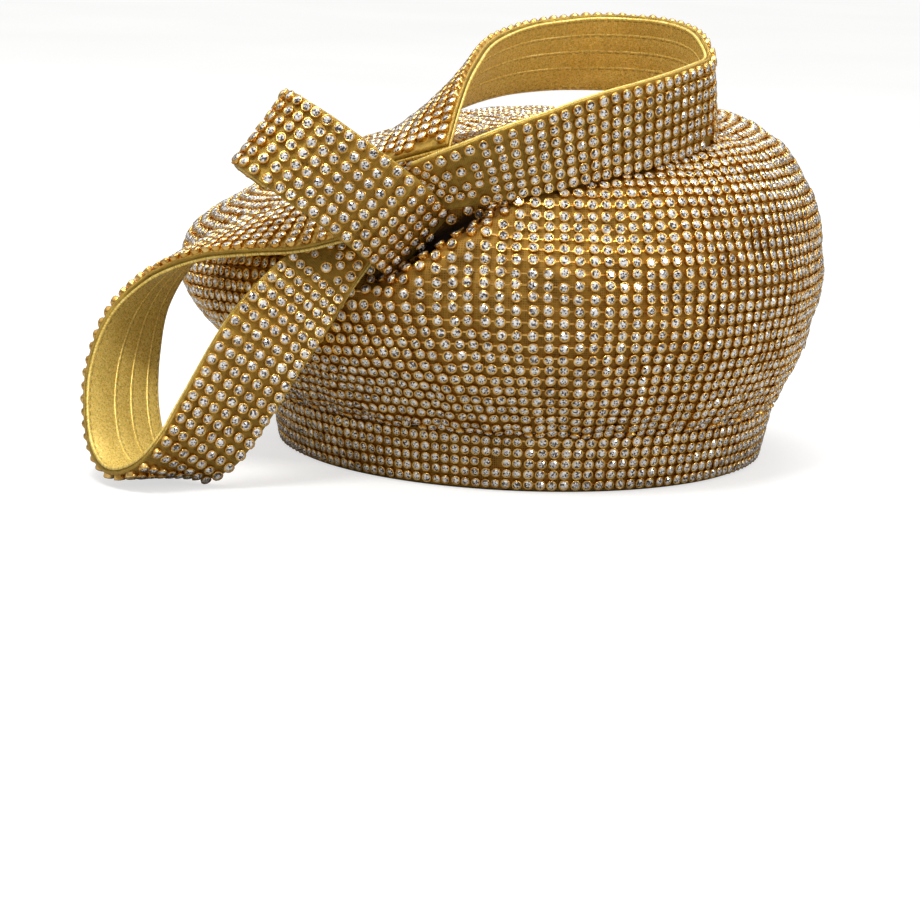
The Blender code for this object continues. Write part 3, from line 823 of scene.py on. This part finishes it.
# The stone side from one edge to the other, then back along the hidden side
CLOTH_PROFILE = (
    (-1, 0.0, -0.20), (-1, -0.05, 0.10), (-1, 0.10, 0.60), (-1, 0.45, HALF), (-1, 1.00, 0.70), (-1, 1.60, 0.72),
    (-0.6, 0, 0.76), (-0.2, 0, 0.78), (0.2, 0, 0.78), (0.6, 0, 0.76), (1, -1.60, 0.72), (1, -1.00, 0.70),
    (1, -0.45, HALF), (1, -0.10, 0.60), (1, 0.05, 0.10), (1, 0.0, -0.20), (1, -0.30, -0.45), (1, -0.20, -0.70),
    (1, -0.60, -0.82), (0.5, 0, -0.85), (-0.5, 0, -0.85), (-1, 0.60, -0.82), (-1, 0.20, -0.70),
    (-1, 0.30, -0.45),
)


def lining_profile(seams, deep):
    """The lining's profile: hidden side, rounded edges, and a step of 0.3 mm at each seam, then the stitch line
    a millimetre further in. The cloth sinks away from each fold to the next seam."""
    top, low = -0.90, deep + 0.30
    edge = ((0.15, top - 0.15), (0.10, deep + 0.35), (0.35, deep + 0.05))
    edge += ((1.00, deep + 0.12), (STITCH_FROM_EDGE, deep + 0.20), (1.70, deep + 0.12))
    step = ((-1.20, low - 0.12), (-0.25, low), (-0.05, low - 0.02), (0.00, deep + 0.10), (0.18, deep))
    step += ((0.60, deep + 0.03), (STITCH_FROM_SEAM, deep + 0.17), (1.30, deep + 0.05))
    rows = [(1, -0.55, top), (0.5, 0, top), (-0.5, 0, top), (-1, 0.55, top)]
    rows += [(-1, extra, rise) for extra, rise in edge]
    rows += [(seam, extra, rise) for seam in seams for extra, rise in step]
    return rows + [(1, -extra, rise) for extra, rise in reversed(edge)]


# %% Build the bands
LOOP_DEPTH, KNOT_DEPTH = -2.10, -1.80
# Each band's name and path, its seams as shares of the half width, and its lining's depth in millimetres
BANDS = (
    ("lower_loop", lower_path, (-0.26, 0.18, 0.64), LOOP_DEPTH),
    ("upper_loop", upper_path, (-0.56, -0.11, 0.34), LOOP_DEPTH),
    ("knot", knot_path, (-0.50, 0.0, 0.50), KNOT_DEPTH),
)
for name, path, seams, deep in BANDS:
    lining_node = () if name == "knot" else (name + "_lining",)
    carried_along(name + "_band", path, CLOTH_PROFILE, band_cloth_finish, "bow_stones", name)
    carried_along(name + "_lame", path, lining_profile(seams, deep), lame_finish, "bow_lining", *lining_node)

# %% [markdown]
# ### Stitches
#
# The seams are sewn with pale thread, a stitch every three millimetres. One stitch is a thin rounded bar that
# dips into the cloth at both ends. All the stitches of a seam are one mesh: the small bar is an array of points,
# and the places of the stitches are another, so one line of numpy multiplies them out.

# %% Set the stitches along the seams
STITCH_PITCH, STITCH_LONG, STITCH_WIDE, FIRST_STITCH = 0.0030, 0.0021, 0.00038, 0.004


def repeated(template, faces, origins, first, second, third, scale=None):
    """Copies of a small shape: each template point as so much of three directions at every origin."""
    scale = np.ones(len(origins)) if scale is None else scale
    local = template[None] * scale[:, None, None]
    points = (
        origins[:, None]
        + local[..., 0:1] * first[:, None]
        + local[..., 1:2] * second[:, None]
        + local[..., 2:3] * third[:, None]
    )
    corners = np.concatenate([np.array(face) for face in faces])
    corners = (corners[None] + len(template) * np.arange(len(origins))[:, None]).ravel()
    sizes = np.tile([len(face) for face in faces], len(origins))
    return points.reshape(-1, 3), corners, sizes


def stitch_shape():
    """A stitch: four rings of four points, thin and sunken at the ends and thickest in the middle."""
    rings = [(-0.5, 0.35, -0.9), (-0.28, 1.0, 0.0), (0.28, 1.0, 0.0), (0.5, 0.35, -0.9)]
    square = [(-0.5, 0.0), (0.0, 0.5), (0.5, 0.0), (0.0, -0.5)]
    points = [
        (STITCH_LONG * run, STITCH_WIDE * wide * side, STITCH_WIDE * (wide * high * 0.7 + sink * 0.45))
        for run, wide, sink in rings
        for side, high in square
    ]
    corners, _, _ = grid_corners(4, 4, close_columns=True)
    faces = [tuple(corner) for corner in corners.reshape(-1, 4)]
    return np.array(points), faces + [(3, 2, 1, 0), (12, 13, 14, 15)]


def sew(name, path, seams, deep):
    """Stitches along every seam and along both edges, on the lining's side."""
    shape, faces = stitch_shape()
    lines = [(seam, STITCH_FROM_SEAM) for seam in seams] + [(-1, STITCH_FROM_EDGE), (1, -STITCH_FROM_EDGE)]
    distances = np.arange(FIRST_STITCH, path.length - FIRST_STITCH, STITCH_PITCH)
    middle, along, across, out, width = path.at(distances)
    origins, runs, sides, outs = [], [], [], []
    for share, extra in lines:
        side = share * width / 2 + extra * MM
        origins.append(middle + side[:, None] * across + (deep + STITCH_RISE) * MM * out)
        runs.append(along)
        sides.append(across)
        outs.append(-out)
    arrays = [np.concatenate(values) for values in (origins, runs, sides, outs)]
    points, corners, sizes = repeated(shape, faces, *arrays)
    piece = make_piece(name, points, corners, sizes)
    finish_piece(piece, thread_finish, "bow_lining")


for name, path, seams, deep in BANDS:
    sew(name + "_stitches", path, seams, deep)

# %% [markdown]
# ## One stone in its cup
#
# A stone is cut with a flat table and sixteen facets round it, and the cup is a short tube with a broad rolled
# lip that holds it. The table is eight flat sectors, because through it the eye sees the facets of the stone's
# back, light and dark by turns. The pair is repeated thousands of times, so each has only a few dozen faces.

# %% The cup and the stone
CUP_SIDES, STONE_SIDES = 10, 8
CUP_RADIUS, LEAST_SCALE = 0.00203, 0.80
CUP_PROFILE = ((0.00176, -0.00035), (CUP_RADIUS, 0.00120), (0.00194, 0.00170), (0.00143, 0.00142))
TABLE_RADIUS, TABLE_HIGH = 0.00084, 0.00188
GIRDLE_RADIUS, GIRDLE_HIGH = 0.00148, 0.00142


def circle(radius, high, sides, start=0.0):
    """Points of a level circle."""
    turns = start + np.arange(sides) * 2 * np.pi / sides
    return np.stack([radius * np.cos(turns), radius * np.sin(turns), np.full(sides, high)], -1)


cup_points = np.concatenate([circle(radius, high, CUP_SIDES) for radius, high in CUP_PROFILE])
cup_corners, _, _ = grid_corners(len(CUP_PROFILE), CUP_SIDES, close_columns=True)
cup_faces = [tuple(corner) for corner in cup_corners.reshape(-1, 4)]

half_step = np.pi / STONE_SIDES
table_ring = circle(TABLE_RADIUS, TABLE_HIGH, STONE_SIDES)
girdle_ring = circle(GIRDLE_RADIUS, GIRDLE_HIGH, STONE_SIDES, half_step)
stone_points = np.concatenate([table_ring, girdle_ring, [[0.0, 0.0, TABLE_HIGH]]])
this_side = np.arange(STONE_SIDES)
next_side = (this_side + 1) % STONE_SIDES
table_middle = np.full(STONE_SIDES, 2 * STONE_SIDES)
sectors = np.stack([table_middle, this_side, next_side], -1)
upper_facets = np.stack([this_side, this_side + STONE_SIDES, next_side], -1)
lower_facets = np.stack([next_side, this_side + STONE_SIDES, next_side + STONE_SIDES], -1)
stone_faces = [tuple(face) for face in np.concatenate([sectors, upper_facets, lower_facets])]
print("faces of a cup:", len(cup_faces), "and of a stone:", len(stone_faces))

# %% [markdown]
# ## Where the stones go
#
# On the real hat the stones come as chains, each cup joined to the next by a short wire link, and the chains are
# sewn round the crown one above another. Up to the shoulder every chain has the same number of stones, so that
# they also stand in columns. Higher up the crown is narrower, and a chain has as many stones as fit round it.
# Just above the headband the cloth is gathered, and the chains lie closer. At the left of the front the bow
# pulls the cloth to one side, and the columns lean.
#
# No stone may poke through the bow, so stones whose place is inside a band are left out. So are stones at the
# very bottom of the fold by the knot, and the later one of two that are too near each other.

# %% Functions that find and test the places
ROW_PITCH, STONE_PITCH, COLUMN_COUNT = 0.00408, 0.00430, 153
FIRST_ROW, GATHERED, GATHERED_ROWS, FULL_CHAIN = 0.0011, 0.10, 3, 0.94
REACH_ALONG = 0.003
AT_ONCE = 200
luck = np.random.default_rng(7)


def squared_gaps(points, others):
    """Squared distances from each point to all the others, some hundred points at a time."""
    for part in np.array_split(points, max(1, len(points) // AT_ONCE)):
        yield ((part[:, None] - others[None]) ** 2).sum(-1)


def inside_band(points, path, reach_in, reach_out, beyond):
    """Which points lie in the slab of a band: near its middle surface in height, and within its width."""
    found = np.zeros(len(points), bool)
    near = np.linalg.norm(points - path.middle.mean(0), axis=1) < 0.5 * path.length
    chosen = np.flatnonzero(near)
    if len(chosen):
        away = ((points[chosen, None] - path.middle[None, ::2]) ** 2).sum(-1)
        nearest = away.argmin(1) * 2
        gap = points[chosen] - path.middle[nearest]
        side = np.abs((gap * path.across[nearest]).sum(1))
        rise = (gap * path.out[nearest]).sum(1)
        run = np.abs((gap * path.along[nearest]).sum(1))
        inside = (side < path.width[nearest] / 2 + beyond) & (rise > -reach_in) & (rise < reach_out)
        found[chosen] = inside & (run < REACH_ALONG)
    return found


def height_over(points, surface_points, surface_outs):
    """How far points stand over a surface, along the normal of its nearest sample."""
    nearest = np.concatenate([gaps.argmin(1) for gaps in squared_gaps(points, surface_points)])
    return ((points - surface_points[nearest]) * surface_outs[nearest]).sum(1)


def even_turns(count, turns, levels):
    """Angles that divide a closed line on the crown, given at some turns and levels, into equal lengths."""
    turns = np.append(turns, turns[0] + 2 * np.pi)
    ring = crown_form(turns, np.append(levels, levels[0]))
    run = run_along(ring)
    count = count or max(1, round(run[-1] / STONE_PITCH))
    return np.interp(np.arange(count) * run[-1] / count, run, turns)


# %% Chains round the crown and the headband
def crown_chains():
    """Angles and levels of the stones, chain by chain. Chain heights are even shares of the way up to the top,
    a little closer at the foot, and round a chain the stones are evenly spaced."""
    some_turns = np.linspace(0, 2 * np.pi, 360, endpoint=False)
    columns = even_turns(COLUMN_COUNT, some_turns, np.full(some_turns.shape, WIDEST_LEVEL))
    fine = np.linspace(0.0, TOP_LEVEL - 0.01, 400)
    grid = crown_form(columns[None], fine[:, None])
    steps = np.linalg.norm(np.diff(grid, axis=0), axis=-1)
    run = np.concatenate([np.zeros((1, COLUMN_COUNT)), np.cumsum(steps, 0)])
    count = round(run[-1].mean() / ROW_PITCH)
    shares = np.cumsum(1 - GATHERED * np.exp(-np.arange(count) / GATHERED_ROWS))
    shares = FIRST_ROW / run[-1].mean() + (shares - shares[0]) / shares[-1]
    turns, levels = [], []
    for share in shares:
        level = np.array([np.interp(share * upwards[-1], upwards, fine) for upwards in run.T])
        ring = crown_form(columns, level)
        around = np.linalg.norm(ring - np.roll(ring, 1, axis=0), axis=1).sum()
        in_columns = around > COLUMN_COUNT * FULL_CHAIN * STONE_PITCH
        chain = columns if in_columns else even_turns(None, columns, level)
        turns.append(chain)
        levels.append(np.interp(chain, columns, level, period=2 * np.pi))
    return turns, levels


def following_in(chains):
    """For every stone of these chains, the number of the next stone round its own chain."""
    starts = np.cumsum([0] + [len(chain) for chain in chains])
    return np.concatenate([np.roll(np.arange(low, high), -1) for low, high in zip(starts[:-1], starts[1:])])


turns_by_chain, levels_by_chain = crown_chains()
chain_next = following_in(turns_by_chain)
chain_turns, chain_levels = np.concatenate(turns_by_chain), np.concatenate(levels_by_chain)
TURN_JITTER, LEVEL_JITTER = 0.0012, 0.010
PULLED_TURN, PULL_WIDTH, PULL_LEVEL, PULL = np.radians(243.0), np.radians(30.0), 6, 0.055
pull = PULL * np.exp(-(((chain_turns % (2 * np.pi) - PULLED_TURN) / PULL_WIDTH) ** 2))
chain_turns = chain_turns - pull * np.sin(np.pi / 2 * np.clip(chain_levels / PULL_LEVEL, 0, 1))
LEANING_TURN, LEAN_WIDTH, LEAN_LEVEL, LEAN = np.radians(205.0), np.radians(62.0), 2.7, 0.12
from_leaning = (chain_turns % (2 * np.pi) - LEANING_TURN) / LEAN_WIDTH
lean = LEAN * np.exp(-(from_leaning**2) - (chain_levels / LEAN_LEVEL) ** 2)
chain_turns = chain_turns + lean + luck.normal(0, TURN_JITTER, chain_turns.shape)
chain_levels = chain_levels + luck.normal(0, LEVEL_JITTER, chain_levels.shape)
chain_levels = np.clip(chain_levels, 0.02, TOP_LEVEL - 0.03)
chain_seats = crown_cloth(chain_turns, chain_levels)
chain_outs = normals_of(crown_cloth, chain_turns, chain_levels)

FIRST_BAND_ROW, BAND_ROW_PITCH, BAND_ROW_COUNT = 0.0030, 0.00385, 5
BAND_ROWS = FIRST_BAND_ROW + BAND_ROW_PITCH * np.arange(BAND_ROW_COUNT)
around, high = (values.ravel() for values in np.meshgrid(turns_by_chain[0], BAND_ROWS))
headband_next = following_in([turns_by_chain[0]] * len(BAND_ROWS))
around = around + luck.normal(0, TURN_JITTER, around.shape)
headband_seats = headband_oval(around, BAND_FACE + HEADBAND_FLARE * high / HEADBAND_HEIGHT)
headband_seats[:, 2] = high
headband_outs = unit(np.stack([np.cos(around) / HEAD_WIDTH, np.sin(around) / HEAD_LENGTH, 0 * high], -1))
headband_outs[:, 2] = -HEADBAND_FLARE / HEADBAND_HEIGHT
headband_outs = unit(headband_outs)
print("chains round the crown:", len(turns_by_chain))
print("stones of the last four:", [len(chain) for chain in turns_by_chain[-4:]])

# %% [markdown]
# The links between the cups follow from the seats: a link lies half way between two neighbours of a chain, and
# points from one to the other. A link is left out where either of its two stones is.

# %% Leave out what the bow covers
CLEAR_IN, CLEAR_OUT, CLEAR_SIDE, TESTED_HIGH = 0.0030, 0.0015, 0.0004, 0.0009
FOLD_BARE_FROM = 0.97
SHORTEST_LINK, LONGEST_LINK = 2.04 * CUP_RADIUS, 1.5 * STONE_PITCH


def covered_by(paths, seats, outs):
    """Which seats lie inside any of these bands."""
    raised = seats + TESTED_HIGH * outs
    found = np.zeros(len(raised), bool)
    for path in paths:
        found |= inside_band(raised, path, CLEAR_IN, CLEAR_OUT, CLEAR_SIDE)
    return found


def kept_apart(seats, kept):
    """The kept seats, less the later one of any two that are too near even for the smallest cups."""
    places = np.flatnonzero(kept)
    kept = kept.copy()
    least = (2 * CUP_RADIUS * LEAST_SCALE) ** 2
    near = np.concatenate([gaps < least for gaps in squared_gaps(seats[places], seats[places])])
    for one, other in places[np.argwhere(np.triu(near, 1))]:
        if kept[one]:
            kept[other] = False
    return kept


def links_between(seats, outs, kept, following):
    """Links between neighbours: their middles, directions, the way out of the cloth, and lengths."""
    both = kept & kept[following]
    step = (seats[following] - seats)[both]
    length = np.linalg.norm(step, axis=1)
    middle = (seats + seats[following])[both] / 2
    near = (length < LONGEST_LINK) & (length > SHORTEST_LINK)
    return middle[near], step[near] / length[near, None], outs[both][near], length[near]


bow_paths = (lower_path, upper_path, knot_path)
chain_in_fold = fold_share(chain_turns, chain_levels)
chain_kept = ~covered_by(bow_paths, chain_seats, chain_outs) & (chain_in_fold < FOLD_BARE_FROM)
headband_kept = ~covered_by(bow_paths, headband_seats, headband_outs)
all_seats = np.concatenate([headband_seats, chain_seats])
all_kept = kept_apart(all_seats, np.concatenate([headband_kept, chain_kept]))
headband_kept, chain_kept = np.split(all_kept, [len(headband_kept)])
link_sets = [
    links_between(chain_seats, chain_outs, chain_kept, chain_next),
    links_between(headband_seats, headband_outs, headband_kept, headband_next),
]
crown_seats = np.concatenate([headband_seats[headband_kept], chain_seats[chain_kept]])
crown_outs = np.concatenate([headband_outs[headband_kept], chain_outs[chain_kept]])
crown_in_fold = np.concatenate([np.zeros(headband_kept.sum()), chain_in_fold[chain_kept]])
print("stones on the crown and headband:", len(crown_seats), "links:", [len(links[0]) for links in link_sets])

# %% [markdown]
# On the bow seven chains run along the band. Where the band is drawn in under the knot, the chains come closer,
# and every second one slips forward by half a step, so that the cups still fit beside each other.

# %% Chains along the bow
BOW_ROWS, BOW_PITCH, BARE_EDGE, BARE_END = 7, 0.00462, 0.00225, 0.0021
# Every second chain slips where the chains are closer than the first value, and slips fully closer by the second
SLIP_FROM, SLIP_SPAN, LEAST_ROW_PITCH = 0.0034, 0.0008, 0.0024
RUN_JITTER, SIDE_JITTER, SEAT_RISE, CLEAR_OVER = 0.00009, 0.00007, 0.00076, 0.0004
surface_turns = np.radians(np.arange(0, 360, 1.5))
surface_turns, surface_levels = np.meshgrid(surface_turns, np.linspace(0.1, 11.5, 120))
surface_points = crown_cloth(surface_turns, surface_levels).reshape(-1, 3)
surface_outs = normals_of(crown_form, surface_turns, surface_levels).reshape(-1, 3)


def band_chains(path, start, end):
    """Seats in seven chains along a band's stone side, with the directions out and along."""
    distances = np.arange(start, path.length - end, BOW_PITCH)
    shares = np.linspace(-1, 1, BOW_ROWS)[:, None]
    odd = np.arange(BOW_ROWS)[:, None] % 2 == 1
    row_pitch = (path.at(distances)[-1] / 2 - BARE_EDGE) * 2 / (BOW_ROWS - 1)
    slip = 0.5 * BOW_PITCH * np.clip((SLIP_FROM - row_pitch) / SLIP_SPAN, 0, 1) * odd
    run = distances + slip + luck.normal(0, RUN_JITTER, slip.shape)
    roomy = ((row_pitch > LEAST_ROW_PITCH) | ~odd) & (run < path.length - BARE_END)
    shares = np.broadcast_to(shares, run.shape)[roomy]
    middle, along, across, out, width = path.at(run[roomy])
    side = shares * (width / 2 - BARE_EDGE) + luck.normal(0, SIDE_JITTER, shares.shape)
    return middle + side[:, None] * across + SEAT_RISE * out, out, along


bow_places = []
for path, start, end, others in (
    (lower_path, 0.002, 0.002, (upper_path, knot_path)),
    (upper_path, 0.002, 0.002, (lower_path, knot_path)),
    (knot_path, 0.002, 0.0026, ()),
):
    seats, outs, alongs = band_chains(path, start, end)
    over = height_over(seats, surface_points, surface_outs)
    kept = ~covered_by(others, seats, outs) & (over > CLEAR_OVER)
    bow_places.append((seats[kept], outs[kept], alongs[kept]))
bow_places = [np.concatenate(values) for values in zip(*bow_places)]
both_seats = np.concatenate([crown_seats, bow_places[0]])
bow_kept = kept_apart(both_seats, np.ones(len(both_seats), bool))[len(crown_seats) :]
bow_seats, bow_outs, bow_alongs = (values[bow_kept] for values in bow_places)
print("stones on the bow:", len(bow_seats))

# %% [markdown]
# ## Setting the stones
#
# Each stone gets three directions at its seat: out of the cloth, and two along it. A small random tilt and turn
# keeps the stones from glinting all together, as on the real hat, where each cup is held by one stitch. The
# light that each facet sends back is a random number, set into its colour as a painted reflection. Across the
# table it changes from sector to sector, so that every stone has a few painted dark flecks in a bright middle.
# Where the chains crowd, the cups and stones are smaller.

# %% Functions that set cups and stones
MOST_TRIANGLES = 180000
TILT, LEAST_LUCK, MOST_LUCK, STONES_FOLD_SHADE = 0.055, 0.97, 1.03, 0.8


def seat_directions(outs, alongs, tilt):
    """Out, along and across for every stone, tilted at random by a few degrees and turned round freely."""
    outs = unit(outs + luck.normal(0, tilt, outs.shape))
    first = unit(alongs - (alongs * outs).sum(1, keepdims=True) * outs)
    second = np.cross(outs, first)
    spin = luck.uniform(0, 2 * np.pi, len(outs))[:, None]
    return np.cos(spin) * first + np.sin(spin) * second, np.cos(spin) * second - np.sin(spin) * first, outs


def pieces_of(count, faces):
    """Slices that share out this many copies of a shape, so that no piece has too many triangles."""
    each = sum(len(face) - 2 for face in faces)
    parts = int(np.ceil(count * each / MOST_TRIANGLES))
    edges = np.linspace(0, count, parts + 1).astype(int)
    return [slice(low, high) for low, high in zip(edges[:-1], edges[1:])]


def room_at(seats):
    """How far off each seat's nearest neighbour is: the second least distance, as the least is to itself."""
    nearest = [np.partition(gaps, 1, axis=1)[:, 1] for gaps in squared_gaps(seats, seats)]
    return np.sqrt(np.concatenate(nearest))


def set_stones(name, seats, outs, alongs, in_fold, slot):
    """Cups and their stones, in a few pieces so that none is too heavy. Those in the fold get painted shade, and
    where the chains crowd, a cup is no wider than the way to its neighbour, down to the least scale."""
    directions = seat_directions(outs, alongs, TILT)
    scale = luck.uniform(LEAST_LUCK, MOST_LUCK, len(seats))
    scale = np.clip(room_at(seats) / (2 * CUP_RADIUS), LEAST_SCALE, scale)
    arrays = (seats, *directions, scale)
    for number, part in enumerate(pieces_of(len(seats), cup_faces), 1):
        made = repeated(cup_points, cup_faces, *(values[part] for values in arrays))
        cups = make_piece(f"{name}_cups_{number}", *made)
        # The cups in the fold get painted shade by this share
        painted_cup_shade = np.repeat(in_fold[part], len(cup_faces))
        cups.data.attributes.new("in_fold", "FLOAT", "FACE").data.foreach_set("value", painted_cup_shade)
        finish_piece(cups, cup_finish, slot)
    for number, part in enumerate(pieces_of(len(seats), stone_faces), 1):
        made = repeated(stone_points, stone_faces, *(values[part] for values in arrays))
        stones = make_piece(f"{name}_cut_stones_{number}", *made, smooth=False)
        # Each facet's painted reflection, lowered in the fold as painted shade
        light = luck.uniform(0, 1, (part.stop - part.start, len(stone_faces)))
        light = light * (1 - STONES_FOLD_SHADE * in_fold[part, None])
        stones.data.attributes.new("facet_light", "FLOAT", "FACE").data.foreach_set("value", light.ravel())
        finish_piece(stones, stone_finish, slot)


# %% Set them all
crown_along = np.cross([0.0, 0.0, 1.0], crown_outs)
crown_along[np.linalg.norm(crown_along, axis=1) < 0.05] = [1.0, 0.0, 0.0]
set_stones("crown", crown_seats, crown_outs, crown_along, crown_in_fold, "crown_stones")
set_stones("bow", bow_seats, bow_outs, bow_alongs, np.zeros(len(bow_seats)), "bow_stones")

# %% [markdown]
# ## The wire links
#
# A link is a short bar between two cups. It is the same small box for every pair, stretched to the gap between
# them, with its ends inside the cups.

# %% Set the links
LINK_WIDE, LINK_THICK, LINK_CUT = 0.00060, 0.00036, 1.7 * CUP_RADIUS
link_points = np.array([[x, y, z] for x in (-0.5, 0.5) for y in (-0.5, 0.5) for z in (-0.5, 0.5)])
link_points = link_points * [1.0, LINK_WIDE, LINK_THICK]
link_faces = [(0, 1, 3, 2), (4, 6, 7, 5), (0, 4, 5, 1), (2, 3, 7, 6), (0, 2, 6, 4), (1, 5, 7, 3)]
middles, steps, outs, lengths = (np.concatenate(values) for values in zip(*link_sets))
stretched = steps * (lengths - LINK_CUT)[:, None]
made = repeated(link_points, link_faces, middles, stretched, np.cross(outs, steps), outs)
finish_piece(make_piece("crown_links", *made, smooth=False), cup_finish, "crown_stones")

# %% [markdown]
# ## Floor and light
#
# The photograph is lit softly, from above and a little in front, against white. A wide pale floor carries the
# hat. The sky is bright overhead and dim near the horizon, so that the gold and the stones have something bright
# and something dark to mirror, while the camera itself sees plain white behind the hat. Three soft lamps give
# the gold its bright and dark sides.

# %% The floor
FLOOR_SIDE, FLOOR_GLOW = 40.0, 0.64
floor_mesh = bpy.data.meshes.new("floor")
floor_corners = np.array([[-1, -1, 0], [1, -1, 0], [1, 1, 0], [-1, 1, 0]]) * FLOOR_SIDE / 2
floor_mesh.from_pydata(floor_corners.tolist(), [], [(0, 1, 2, 3)])
floor = bpy.data.objects.new("floor", floor_mesh)
bpy.context.scene.collection.objects.link(floor)
floor_finish, tree, shader = new_material("pale floor", 0.75, 0.0)
chart = add_node(tree, "ShaderNodeTexCoord")
grain = add_node(tree, "ShaderNodeTexNoise")
grain.inputs["Scale"].default_value = 3.0
tree.links.new(chart.outputs["Object"], grain.inputs["Vector"])
floor_stops = ((0.3, (0.36, 0.36, 0.36)), (0.7, (0.40, 0.40, 0.40)))
tree.links.new(colour_between(tree, grain.outputs[0], floor_stops), shader.inputs["Base Color"])
shader.inputs["Emission Color"].default_value = (1.0, 1.0, 1.0, 1.0)
light_path = add_node(tree, "ShaderNodeLightPath")
lit_for_camera = calculate(tree, "MULTIPLY", light_path.outputs["Is Camera Ray"], FLOOR_GLOW)
tree.links.new(lit_for_camera, shader.inputs["Emission Strength"])
floor_mesh.materials.append(floor_finish)
floor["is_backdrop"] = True


# %% The sky and the lamps
world = bpy.data.worlds.new("studio")
world.use_nodes = True
tree = world.node_tree
backdrop = tree.nodes["Background"]
backdrop.inputs[0].default_value = (1.0, 1.0, 1.0, 1.0)
sky = add_node(tree, "ShaderNodeBackground")
heading = add_node(tree, "ShaderNodeSeparateXYZ")
tree.links.new(add_node(tree, "ShaderNodeTexCoord").outputs["Generated"], heading.inputs[0])
sky_stops = (
    (0.0, (0.16, 0.15, 0.14)),
    (0.16, (0.22, 0.21, 0.20)),
    (0.45, (0.60, 0.59, 0.57)),
    (1.0, (1.0, 1.0, 1.0)),
)
tree.links.new(colour_between(tree, heading.outputs["Z"], sky_stops), sky.inputs[0])
seen = add_node(tree, "ShaderNodeMixShader")
tree.links.new(add_node(tree, "ShaderNodeLightPath").outputs["Is Camera Ray"], seen.inputs[0])
tree.links.new(sky.outputs[0], seen.inputs[1])
tree.links.new(backdrop.outputs[0], seen.inputs[2])
tree.links.new(seen.outputs[0], tree.nodes["World Output"].inputs[0])
bpy.context.scene.world = world


AIM_AT = Vector((0.0, 0.0, 0.07))


def lamp(name, place_at, size, power, colour=(1.0, 1.0, 1.0)):
    """A soft square lamp aimed at the hat."""
    data = bpy.data.lights.new(name, "AREA")
    data.shape = "SQUARE"
    data.size = size
    data.energy = power
    data.color = colour
    item = bpy.data.objects.new(name, data)
    item.location = place_at
    item.rotation_euler = (AIM_AT - Vector(place_at)).to_track_quat("-Z", "Y").to_euler()
    bpy.context.scene.collection.objects.link(item)


lamp("key", (-0.32, -0.78, 1.50), 0.42, 17.0, (1.0, 0.99, 0.96))
lamp("side", (1.10, -0.70, 0.60), 0.30, 3.5)
lamp("top", (0.10, 0.35, 1.50), 0.70, 11.0)
bpy.context.scene.view_settings.view_transform = "Standard"

# %% [markdown]
# ## Last steps
#
# The box of the finished hat is printed in millimetres.

# %% Print the box of the finished hat
visual_box = [list(corner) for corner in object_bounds()]
visual_in_mm = [[round(1000 * value, 1) for value in corner] for corner in visual_box]
print("box of the finished hat in mm:", visual_in_mm)
